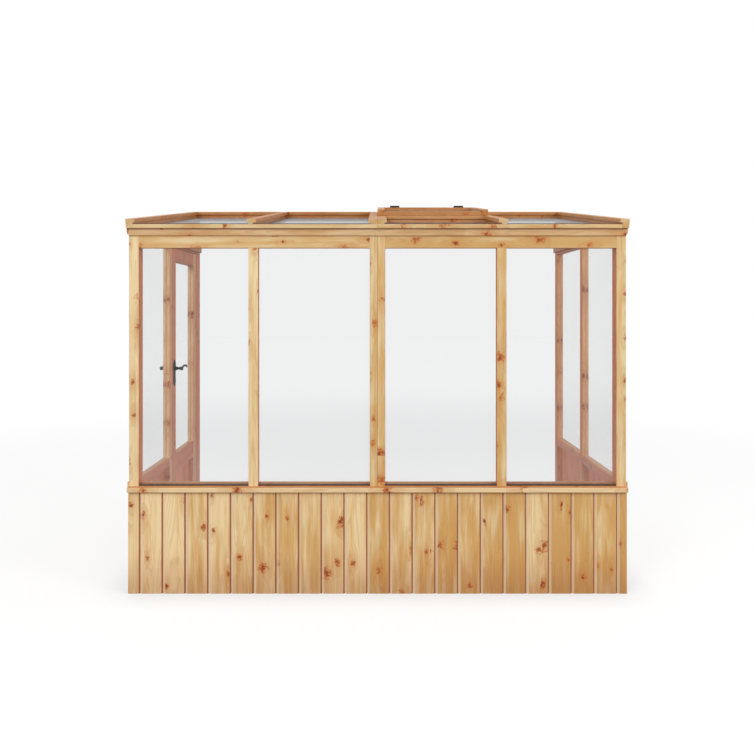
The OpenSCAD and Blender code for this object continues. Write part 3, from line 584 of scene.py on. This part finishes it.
def dress_timber(name):
    turn = UNSLOPE if any(word in name for word in ROOF_WORDS) else LEVEL
    heart = max([share for word, share in SHADE_RED_BY_NAME.items() if word in name], default=0.0)
    light_drift = LIGHT_FROM_LEFT if name.startswith("front_") else 0.0
    return dress(name, "_timber", PINE[slot_of_node[name]], TIMBER_EASE, 40, lambda mesh:
                 mark_timbers(mesh, turn, heart, PALE_AND_LIT.get(name, 0.0), light_drift))


timbers = sum(dress_timber(n) for n in sorted(nodes) if slot_of_node[n] in PINE)
iron_nodes = [n for n in sorted(nodes) if slot_of_node[n] == "black_iron" and n != "door_levers"]
for name in iron_nodes:
    dress(name, "_eased", IRON, IRON_EASE, 35)
print("separate timbers:", timbers, "eased ironwork:", iron_nodes)

# %% [markdown]
# The panes are plain sheets in the CAD model already, so they stay as they are and only take the
# glass material.

# %% Give the panes their glass
for name, node in nodes.items():
    if slot_of_node[name] == "clear_glass":
        node.data.materials.clear()
        node.data.materials.append(VENT_GLASS if name == "vent_pane" else GLASS)
print("panes finished")

# %% [markdown]
# Small things that repeat, such as screws, nails and beads of putty, are grown by Geometry Nodes
# on simple guides: loose points that say where, and which way they face, or loops of edges. The
# helpers below grow them, turn the result into a plain mesh and take the modifier away.

# %% Helpers that grow a piece from guides
def growing_tree(name, sizes):
    """A Geometry Nodes tree that takes a guide, some sizes and a finish."""
    return new_group(name, [("Guide", GEOMETRY, None), *sizes,
                            ("Finish", "NodeSocketMaterial", None)],
                     [("Geometry", GEOMETRY)], "GeometryNodeTree")


def end_tree(tree, grown, g_in, g_out):
    """Makes real what a tree has grown, and gives it its finish."""
    real = add(tree, "GeometryNodeRealizeInstances", [("Geometry", grown)])
    done = add(tree, "GeometryNodeSetMaterial", [
        ("Geometry", real.outputs[0]), ("Material", g_in.outputs["Finish"])])
    feed(tree, g_out, [(0, done.outputs[0])])
    return tree


def guide_mesh(name, points, edges=(), facing=None):
    data = bpy.data.meshes.new(name)
    data.from_pydata([tuple(p) for p in points], [tuple(e) for e in edges], [])
    if facing:
        layer = data.attributes.new("facing", "FLOAT_VECTOR", "POINT")
        layer.data.foreach_set("vector", [c for f in facing for c in f])
    return data


def grow(name, guide, tree, body, slot, **inputs):
    """Runs a node tree on a guide and keeps the result as a plain piece on one body."""
    seed = put_down(name + "_guide", guide)
    modifier = seed.modifiers.new("Grow", "NODES")
    modifier.node_group = tree
    for socket in tree.interface.items_tree:
        if socket.in_out == "INPUT" and socket.name in inputs:
            modifier[socket.identifier] = inputs[socket.name]
    seed.update_tag()
    graph = bpy.context.evaluated_depsgraph_get()
    data = bpy.data.meshes.new_from_object(seed.evaluated_get(graph))
    bpy.data.objects.remove(seed)
    smooth_over(data)
    piece = put_down(name, data)
    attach(piece, body)
    print(name, "has", len(data.polygons), "faces")
    return piece


# %% [markdown]
# A countersunk screw is a low cone with a slot across it; a nail head is a plain low cone. One
# recipe makes the tree for both. It turns each head to face outwards, and then by a random angle
# about its own axis, because nobody lines up screw slots.

# %% The fixing heads, in Geometry Nodes
def lifted(tree, geometry, by):
    up = add(tree, "ShaderNodeCombineXYZ", [(2, by)]).outputs[0]
    return add(tree, "GeometryNodeTransform", [("Geometry", geometry),
                                               ("Translation", up)]).outputs[0]


def fixing_tree(name, sides, slotted):
    tree, g_in, g_out = growing_tree(name, [
        ("Radius", FLOAT, 0.0032), ("Height", FLOAT, 0.0008), ("Slot width", FLOAT, 0.0008)])
    radius, tall = g_in.outputs["Radius"], g_in.outputs["Height"]
    cone = add(tree, "GeometryNodeMeshCone", [
        ("Vertices", sides), ("Radius Bottom", radius), ("Depth", times(tree, tall, 2.0)),
        ("Radius Top", times(tree, radius, 0.62))]).outputs["Mesh"]
    head = lifted(tree, cone, times(tree, tall, -1.0))
    if slotted:
        size = add(tree, "ShaderNodeCombineXYZ", [
            (0, times(tree, radius, 3.0)), (1, g_in.outputs["Slot width"]), (2, tall)])
        slot = add(tree, "GeometryNodeMeshCube", [("Size", size.outputs[0])]).outputs["Mesh"]
        head = add(tree, "GeometryNodeMeshBoolean", [
            ("Mesh 1", head), ("Mesh 2", lifted(tree, slot, tall))],
            operation="DIFFERENCE").outputs["Mesh"]
    out = add(tree, "GeometryNodeInputNamedAttribute", [("Name", "facing")],
              data_type="FLOAT_VECTOR").outputs["Attribute"]
    upright = add(tree, "FunctionNodeAlignRotationToVector", [("Vector", out)], axis="Z")
    spin = add(tree, "FunctionNodeRandomValue", [(2, 0.0), (3, 2 * math.pi), ("Seed", 7)],
               data_type="FLOAT")
    about = add(tree, "FunctionNodeAxisAngleToRotation", [("Axis", (0, 0, 1)),
                ("Angle", spin.outputs[1])])
    way = add(tree, "FunctionNodeRotateRotation", [
        ("Rotation", upright.outputs[0]), ("Rotate By", about.outputs[0])], rotation_space="LOCAL")
    placed = add(tree, "GeometryNodeInstanceOnPoints", [
        ("Points", g_in.outputs["Guide"]), ("Instance", head), ("Rotation", way.outputs[0])])
    return end_tree(tree, placed.outputs[0], g_in, g_out)


SCREWS = fixing_tree("Slotted screw heads", 16, True)
NAILS = fixing_tree("Nail heads", 8, False)
print("fixing trees:", SCREWS.name, "and", NAILS.name)

# %% [markdown]
# The screws' places come from the ironwork itself. Each hinge leaf has three in a row, on the
# flat beside its knuckle. Each long lock plate has one near either end, inside and outside.

# %% Find where the screws go
LEAF_T = 0.0025
LEAF_INSET, PLATE_INSET = 0.009, 0.012
UPHILL, LEFT = SLOPE.to_3x3() @ Vector((0, 0, 1)), Vector((-1, 0, 0))
screws = {"greenhouse": [], "vent": [], "door": []}
for name in ("vent_hinge_leaves", "vent_hinge_plates", "door_hinge_leaves", "door_hinge_plates"):
    on_roof = name.startswith("vent")
    for low, high in solids(name, UNSLOPE if on_roof else LEVEL):
        y = low.y + LEAF_INSET if name.endswith("leaves") else high.y - LEAF_INSET
        for share in (0.17, 0.5, 0.83):
            x, z = (low[k] + share * (high[k] - low[k]) for k in (0, 2))
            screws[body_of_node[name]].append(
                (SLOPE @ Vector((x, y, low.z + LEAF_T)), UPHILL) if on_roof
                else (Vector((high.x - LEAF_T, y, z)), LEFT))


def lock_plates():
    """Each lock plate's corners, its outward side, its visible face and its middle line."""
    plates = solids("door_lock_plates")
    inner = max(low.x for low, high in plates)
    return [(low, high, 1, high.x, (low.y + high.y) / 2) if low.x == inner
            else (low, high, -1, low.x, (low.y + high.y) / 2) for low, high in plates]


for low, high, out, x, y in lock_plates():
    screws["door"] += [(Vector((x, y, z)), out * -LEFT)
                       for z in (low.z + PLATE_INSET, high.z - PLATE_INSET)]
print("screws:", {body: len(found) for body, found in screws.items()})

# %% [markdown]
# The boards are pinned to the rails behind them with small galvanised nails, one near the top
# and one near the bottom of each board, punched almost flush. Slivers are too small to pin.

# %% Find where the nails go
BOARDED = {"front_cladding": Vector((0, -1, 0)), "right_cladding": -LEFT,
           "left_cladding": LEFT, "door_boards": LEFT}
NAIL_INSET, SMALLEST_BOARD = 0.022, 0.04
nails = {"greenhouse": [], "door": []}
for name, out in BOARDED.items():
    for low, high in solids(name):
        middle = (low + high) / 2
        if min(high.x - low.x + high.y - low.y, high.z - low.z) < SMALLEST_BOARD:
            continue
        for z in (low.z + NAIL_INSET, high.z - NAIL_INSET):
            face = Vector([high[k] if out[k] > 0 else low[k] if out[k] < 0 else middle[k]
                           for k in range(3)])
            face.z = z
            nails[body_of_node[name]].append((face, out))
print("nails:", {body: len(found) for body, found in nails.items()})

# %% [markdown]
# Screws and nails on the frame, on the vent and on the door are pieces of their own, because
# each piece has to move with its own body.

# %% Grow the screws and nails, one piece for each body
SCREW_SIZE = {"Radius": 0.0033, "Height": 0.0007, "Slot width": 0.0009, "Finish": IRON}
NAIL_SIZE = {"Radius": 0.0018, "Height": 0.0002, "Finish": GALVANISED}
for label, places, tree, sizes in (("_screws", screws, SCREWS, SCREW_SIZE),
                                   ("_nails", nails, NAILS, NAIL_SIZE)):
    for body, found in places.items():
        guide = guide_mesh(body + label, [p for p, f in found], facing=[f for p, f in found])
        grow(body + label, guide, tree, body, "black_iron", **sizes)

# %% [markdown]
# Each pane stands in a groove, and putty is pressed round its edge, so that a thin bead shows on
# both faces and closes the groove. The bead is a round section swept by Curve to Mesh along a
# line of edges.

# %% The putty bead, in Geometry Nodes
def bead_tree(name):
    tree, g_in, g_out = growing_tree(name, [
        ("Radius", FLOAT, 0.002), ("Sides", "NodeSocketInt", 8)])
    path = add(tree, "GeometryNodeMeshToCurve", [("Mesh", g_in.outputs["Guide"])])
    round_bar = add(tree, "GeometryNodeCurvePrimitiveCircle", [
        ("Resolution", g_in.outputs["Sides"]), ("Radius", g_in.outputs["Radius"])])
    swept = add(tree, "GeometryNodeCurveToMesh", [
        ("Curve", path.outputs[0]), ("Profile Curve", round_bar.outputs[0]), ("Fill Caps", True)])
    return end_tree(tree, swept.outputs[0], g_in, g_out)


BEADS = bead_tree("Glazing bead")


def bead(name, points, edges, body, slot, radius, finish):
    grow(name, guide_mesh(name, points, edges), BEADS, body, slot, Radius=radius, Finish=finish)


print("bead tree ready")

# %% [markdown]
# Every pane gets one closed loop. A wall pane's loop lies in the middle of the glass, just inside
# the timber, and is thick enough to show on both faces. A roof pane's loop is thinner and lies on
# top, because those panes lie on their rafters. The putty in the two ends is paler.

# %% Run the beads round the panes
PANE_LAP = 0.0075
BEAD_LAP, ROOF_BEAD_LAP = PANE_LAP - 0.0015, 0.001
BEAD_R, ROOF_BEAD_R = 0.0039, 0.0022


def bead_loops(panes, turn, lap, on_top):
    """A loop of points round each pane, in the middle of the glass or on top of it."""
    points, edges = [], []
    for low, high in [box for name in panes for box in solids(name, turn)]:
        thin = min(range(3), key=lambda k: high[k] - low[k])
        a, b = [k for k in range(3) if k != thin]
        depth = high[thin] + ROOF_BEAD_R * 0.4 if on_top else (low[thin] + high[thin]) / 2
        start = len(points)
        for u, v in ((low[a] + lap, low[b] + lap), (high[a] - lap, low[b] + lap),
                     (high[a] - lap, high[b] - lap), (low[a] + lap, high[b] - lap)):
            corner = Vector((0, 0, 0))
            corner[thin], corner[a], corner[b] = depth, u, v
            points.append(turn.inverted() @ corner)
        edges += [(start + i, start + (i + 1) % 4) for i in range(4)]
    return points, edges


for name, panes, turn, body, finish in (
        ("front_putty", ["front_panes"], LEVEL, "greenhouse", PUTTY),
        ("end_putty", ["right_panes", "left_pane"], LEVEL, "greenhouse", PALE_PUTTY),
        ("roof_putty", ["roof_panes"], UNSLOPE, "greenhouse", PUTTY),
        ("door_putty", ["door_pane"], LEVEL, "door", PALE_PUTTY),
        ("vent_putty", ["vent_pane"], UNSLOPE, "vent", PUTTY)):
    on_top = name == "roof_putty"
    loops = bead_loops(panes, turn, ROOF_BEAD_LAP if on_top else BEAD_LAP, on_top)
    bead(name, *loops, body, "trim_pine", ROOF_BEAD_R if on_top else BEAD_R, finish)

# %% [markdown]
# Dark seals are straight beads of the same kind, nearly black as painted shade. One lies along the foot of every
# front pane and one on the lip of the eaves in front of every roof pane, as dark lines of painted shade. A thin
# one runs right round the door's opening, at its inner edge, and closes the running gap, so that no light comes
# through it; its dark colour is painted shade of the gap. The eaves are made in two halves, with a hair of sealant
# in the upright joint between them.

# %% Lay the seals
SEAL_R, SEAL_OUT, SEAL_UP = 0.0043, 0.0046, 0.0028
EAVES_SEAL_R, EAVES_LIP = 0.0026, (-0.0150, 0.0356)
DOOR_SEAL_R, DOOR_SEAL_IN, DOOR_GAP = 0.0014, 0.0016, 0.003
SEALANT_R = 0.0012


def strokes(ends):
    """Points and edges of separate straight lines, from a list of (start, end)."""
    return [p for pair in ends for p in pair], [(2 * i, 2 * i + 1) for i in range(len(ends))]


# Dark lines of painted shade along the foot of the front panes, on the eaves lip and round the door's opening.
feet = [[(x, low.y - SEAL_OUT, low.z + PANE_LAP + SEAL_UP)
         for x in (low.x + PANE_LAP, high.x - PANE_LAP)] for low, high in solids("front_panes")]
bead("front_seals", *strokes(feet), "greenhouse", "black_iron", SEAL_R, SHADE_SEAL)
lips = [[SLOPE @ Vector((x, *EAVES_LIP)) for x in (low.x + PANE_LAP, high.x - PANE_LAP)]
        for low, high in solids("roof_panes", UNSLOPE) if low.y < 0.02]
bead("eaves_seals", *strokes(lips), "greenhouse", "black_iron", EAVES_SEAL_R, SHADE_SEAL)
stile_low, stile_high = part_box("door_lock_stile")
near, far = stile_low.y - DOOR_GAP / 2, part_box("door_hinge_stile")[1].y + DOOR_GAP / 2
foot_z, head_z = stile_low.z - DOOR_GAP / 2, stile_high.z + DOOR_GAP / 2
opening = [(stile_high.x - DOOR_SEAL_IN, y, z) for y, z in (
    (near, foot_z), (near, head_z), (far, head_z), (far, foot_z))]
bead("door_seal", opening, [(0, 1), (1, 2), (2, 3), (3, 0)], "greenhouse", "black_iron",
     DOOR_SEAL_R, SHADE_SEAL)
eaves_low, eaves_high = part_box("eaves_rails")
joint = [[(0, eaves_low.y + 0.006, z) for z in (eaves_low.z + 0.002, eaves_high.z - 0.006)]]
bead("eaves_sealant", *strokes(joint), "greenhouse", "trim_pine", SEALANT_R, PUTTY)

# %% [markdown]
# The lever handles are forged: a round boss on the spindle, a flat bar that waves and twists,
# and a small curl at its tip. The path is drawn in code, and a tree sweeps a rounded bar along
# it. The bar's thickness and twist follow the path's own length, so the whole lever is one form.

# %% The forged bar, in Geometry Nodes
def forged_tree(name):
    tree, g_in, g_out = growing_tree(name, [
        ("Bar width", FLOAT, 0.009), ("Bar height", FLOAT, 0.012), ("Corner", FLOAT, 0.003),
        ("Tip share", FLOAT, 0.36), ("Twist", FLOAT, 1.0)])
    asked = g_in.outputs
    path = add(tree, "GeometryNodeMeshToCurve", [("Mesh", asked["Guide"])]).outputs[0]
    share = add(tree, "GeometryNodeSplineParameter").outputs["Factor"]
    belly = times(tree, maths(tree, "SINE", times(tree, share, 12.0)), 0.16)
    slimmer = maths(tree, "SUBTRACT", asked["Tip share"], 1.0)
    taper = maths(tree, "ADD", times_plus(tree, share, slimmer, 1.0),
                  times(tree, belly, maths(tree, "SUBTRACT", 1.0, share)))
    swing = times(tree, ramp(tree, share, 0.18, 0.5), asked["Twist"])
    path = add(tree, "GeometryNodeSetCurveTilt", [("Curve", path), ("Tilt", swing)]).outputs[0]
    section = add(tree, "GeometryNodeCurvePrimitiveQuadrilateral", [
        ("Width", asked["Bar width"]), ("Height", asked["Bar height"])]).outputs[0]
    section = add(tree, "GeometryNodeFilletCurve", [("Curve", section), ("Count", 3),
                  ("Radius", asked["Corner"])], mode="POLY").outputs[0]
    swept = add(tree, "GeometryNodeCurveToMesh", [
        ("Curve", path), ("Profile Curve", section), ("Scale", taper), ("Fill Caps", True)])
    return end_tree(tree, swept.outputs[0], g_in, g_out)


FORGED = forged_tree("Forged bar")
print("forged bar nodes:", len(FORGED.nodes))

# %% [markdown]
# The path of a lever dips at its boss, swings up, runs on nearly level and ends in a curl that
# tightens. The same path is used twice, for the lever outside and the lever inside, with the
# spindle's place and height read from the joint.

# %% Forge the two levers
turn_joint = next(j for j in frame["joints"] if j["name"] == "lever_turn")
SPINDLE = Vector(turn_joint["pos_m"])
LEVER_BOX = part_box("door_levers")
LEVER_PLANES = (LEVER_BOX[0].x + 0.005, LEVER_BOX[1].x - 0.005)


def lever_path(length, rise, curl_r, curl_turn, bar_steps=40, curl_steps=36):
    """Points (along, up) of a bar that dips, swings up and ends in a tip rolled downwards."""
    points = []
    for i in range(bar_steps + 1):
        s = i / bar_steps
        lift = min(max((s - 0.16) / 0.36, 0.0), 1.0)
        dip = 0.3 * math.sin(math.pi * min(s / 0.36, 1.0))
        sag = 0.25 * max(s - 0.52, 0.0) / 0.48
        points.append((s * length, rise * (lift * lift * (3 - 2 * lift) - dip - sag)))
    heading = math.atan2(points[-1][1] - points[-2][1], points[-1][0] - points[-2][0])
    for i in range(curl_steps):
        step = curl_r * (1 - 0.55 * i / curl_steps) * curl_turn / curl_steps
        heading -= curl_turn / curl_steps
        points.append((points[-1][0] + math.cos(heading) * step,
                       points[-1][1] + math.sin(heading) * step))
    return points


path = lever_path(0.111, 0.011, 0.0050, math.radians(250))
bar_points = [(x, SPINDLE.y + along, SPINDLE.z + up) for x in LEVER_PLANES for along, up in path]
bar_edges = [(i, i + 1) for i in range(len(bar_points) - 1) if i + 1 != len(path)]
levers = grow("forged_levers", guide_mesh("forged_levers", bar_points, bar_edges), FORGED,
              "door_handle", "black_iron", Twist=math.radians(35), Finish=IRON,
              **{"Bar width": 0.010, "Bar height": 0.0175, "Tip share": 0.46})
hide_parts("door_levers")

# %% [markdown]
# The spindle, its collars and the bosses of the levers are round, so they are turned like wood on
# a lathe: one outline of (place along the spindle, radius) is spun about the spindle's own line.
# Only half of the outline is listed, from the lock plate out to the end of a boss.

# %% Turn the spindle
def turned(name, outline, centre, segments=40):
    """Spins (x, radius) points about a line along X through centre."""
    mesh = bmesh.new()
    angles = [2 * math.pi * i / segments for i in range(segments)]
    rings = [[mesh.verts.new((x, centre.y + r * math.cos(a), centre.z + r * math.sin(a)))
              for a in (angles if r else [0.0])] for x, r in outline]
    for one, two in zip(rings, rings[1:]):
        for i in range(segments):
            j = (i + 1) % segments
            if len(one) == 1:
                mesh.faces.new((one[0], two[i], two[j]))
            elif len(two) == 1:
                mesh.faces.new((one[i], two[0], one[j]))
            else:
                mesh.faces.new((one[i], two[i], two[j], one[j]))
    bmesh.ops.recalc_face_normals(mesh, faces=mesh.faces)
    return mesh_piece(mesh, name, IRON)


HALF_SPINDLE = [(0.0005, 0.006), (0.0005, 0.0120), (0.0018, 0.0130), (0.006, 0.0122),
                (0.012, 0.0100), (0.018, 0.0078), (0.024, 0.0063), (0.0275, 0.0062),
                (0.0295, 0.0085), (0.031, 0.0102), (0.0385, 0.0102), (0.040, 0.0085),
                (0.0405, 0.004), (0.0405, 0.0)]
plates_low, plates_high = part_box("door_lock_plates")
outline = ([(plates_low.x - d, r) for d, r in reversed(HALF_SPINDLE)]
           + [(plates_high.x + d, r) for d, r in HALF_SPINDLE])
spindle = turned("lever_spindle", outline, SPINDLE)
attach(spindle, "door_handle")
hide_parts("door_levers")
print("spindle from", round(outline[0][0], 4), "to", round(outline[-1][0], 4))

# %% [markdown]
# A keyhole under each lever is a dark inlay of painted shade, a fraction of a millimetre proud of the lock plate.

# %% Cut the keyholes
KEYHOLE_R, KEYHOLE_UP = 0.0034, 0.042


def keyholes(name, proud, sunk=0.0005):
    """A keyhole shape of painted shade on each lock plate: a round top over a flared slot."""
    shape = [(KEYHOLE_R * math.sin(a), KEYHOLE_R * math.cos(a)) for a in
             [math.radians(-145 + 290 * i / 20) for i in range(21)]]
    shape += [(0.0026, -0.0125), (-0.0026, -0.0125)]
    mesh = bmesh.new()
    for low, high, out, x, y in lock_plates():
        front, back = [[mesh.verts.new((x + out * by, y + a, low.z + KEYHOLE_UP + b))
                        for a, b in shape] for by in (proud, -sunk)]
        mesh.faces.new(front)
        mesh.faces.new(back[::-1])
        for i in range(len(shape)):
            j = (i + 1) % len(shape)
            mesh.faces.new((front[i], back[i], back[j], front[j]))
    bmesh.ops.recalc_face_normals(mesh, faces=mesh.faces)
    piece = mesh_piece(mesh, name, KEYHOLE_SHADE, smooth=False)
    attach(piece, "door")


keyholes("keyholes", 0.0002)
print("keyholes cut")

# %% [markdown]
# The studio is white all round. The floor keeps a soft shadow, but looks white elsewhere: a share of plain white
# is added for rays that come straight from the camera, or by way of glass or gloss, so that no extra light falls
# on the greenhouse. The share grows away from the greenhouse, where less light falls, and so the floor's far edge
# melts into the background. Close to the foot of the wall an Ambient Occlusion node takes some of it back, which
# leaves a faint line of painted contact shade.

# %% Make the floor
FLOOR_GLOW = (0.71, 0.816)
CONTACT_SHADE = 0.4


def seen_directly(tree):
    """One for rays from the camera, straight or by way of gloss or glass."""
    rays = add(tree, "ShaderNodeLightPath").outputs
    return maths(tree, "MAXIMUM", rays["Is Camera Ray"], maths(
        tree, "MAXIMUM", rays["Is Glossy Ray"], rays["Is Transmission Ray"]))


def studio_floor(size):
    data = bpy.data.meshes.new("studio_floor")
    h = size / 2
    data.from_pydata([(-h, -h, 0), (h, -h, 0), (h, h, 0), (-h, h, 0)], [], [(0, 1, 2, 3)])
    floor = put_down("studio_floor", data)
    material, tree, shader, where = new_finish("Studio white")
    glow = ramp(tree, vec(tree, "LENGTH", where["Object"]), 3.0, 9.0, *FLOOR_GLOW)
    # Painted contact shade: ambient occlusion darkens the floor's white near the walls.
    sky = add(tree, "ShaderNodeAmbientOcclusion", [("Distance", 0.2)], samples=8).outputs["AO"]
    glow = times(tree, glow, times_plus(tree, sky, CONTACT_SHADE, 1 - CONTACT_SHADE))
    feed(tree, shader, [
        ("Base Color", (0.30, 0.30, 0.30, 1)), ("Roughness", 1.0), ("Specular IOR Level", 0.0),
        ("Emission Color", (1, 1, 1, 1)),
        ("Emission Strength", times(tree, seen_directly(tree), glow))])
    data.materials.append(material)
    return floor


studio_floor(60.0)
print("floor made")

# %% [markdown]
# The world gives most of the light, a little weaker than the white that the camera sees. Two soft
# boxes in front, left and right, shape the timber, and a weak one above lights the roof.

# %% Light the studio
def studio_world(strength):
    world = bpy.data.worlds.new("Studio")
    bpy.context.scene.world = world
    world.use_nodes = True
    tree = world.node_tree
    level = times_plus(tree, seen_directly(tree), 1 - strength, strength)
    feed(tree, tree.nodes["Background"], [("Color", (1, 1, 1, 1)), ("Strength", level)])


def soft_box(name, place, aim, width, height, watts):
    data = bpy.data.lights.new(name, "AREA")
    data.shape, data.size, data.size_y, data.energy = "RECTANGLE", width, height, watts
    lamp = put_down(name, data)
    lamp.location = place
    lamp.rotation_mode = "QUATERNION"
    lamp.rotation_quaternion = (Vector(aim) - Vector(place)).to_track_quat("-Z", "Y")


studio_world(0.62)
soft_box("key", (-3.8, -6.2, 4.4), (0, 0.3, 0.9), 3.0, 3.0, 240.0)
soft_box("fill", (6.0, -3.6, 3.6), (0, 0.3, 0.9), 3.0, 3.0, 190.0)
soft_box("top", (0.5, 0.5, 7.0), (0, 0.5, 0), 5.0, 4.0, 60.0)

# %% [markdown]
# The photograph was taken straight on, from head height, with the camera level. The picture is
# shifted down a little instead of tilting the camera, so that upright lines stay upright.

# %% Set the camera
PICTURE, SENSOR = 755, 36.0
FOCAL_PX = 700.0
HORIZON_ROW = 310.0
CAMERA_AWAY = 3.360
CAMERA_HEIGHT = 1.357
camera_data = bpy.data.cameras.new("camera")
camera_data.sensor_width = SENSOR
camera_data.lens = SENSOR * FOCAL_PX / PICTURE
camera_data.shift_y = (HORIZON_ROW - PICTURE / 2) / PICTURE
camera = put_down("camera", camera_data)
camera.location = (0.0, WALL_FRONT_Y - CAMERA_AWAY, CAMERA_HEIGHT)
camera.rotation_euler = (math.radians(90), 0, 0)
bpy.context.scene.camera = camera
bpy.context.scene.view_settings.view_transform = "Standard"
print("lens", round(camera_data.lens, 2), "mm, shift", round(camera_data.shift_y, 4))
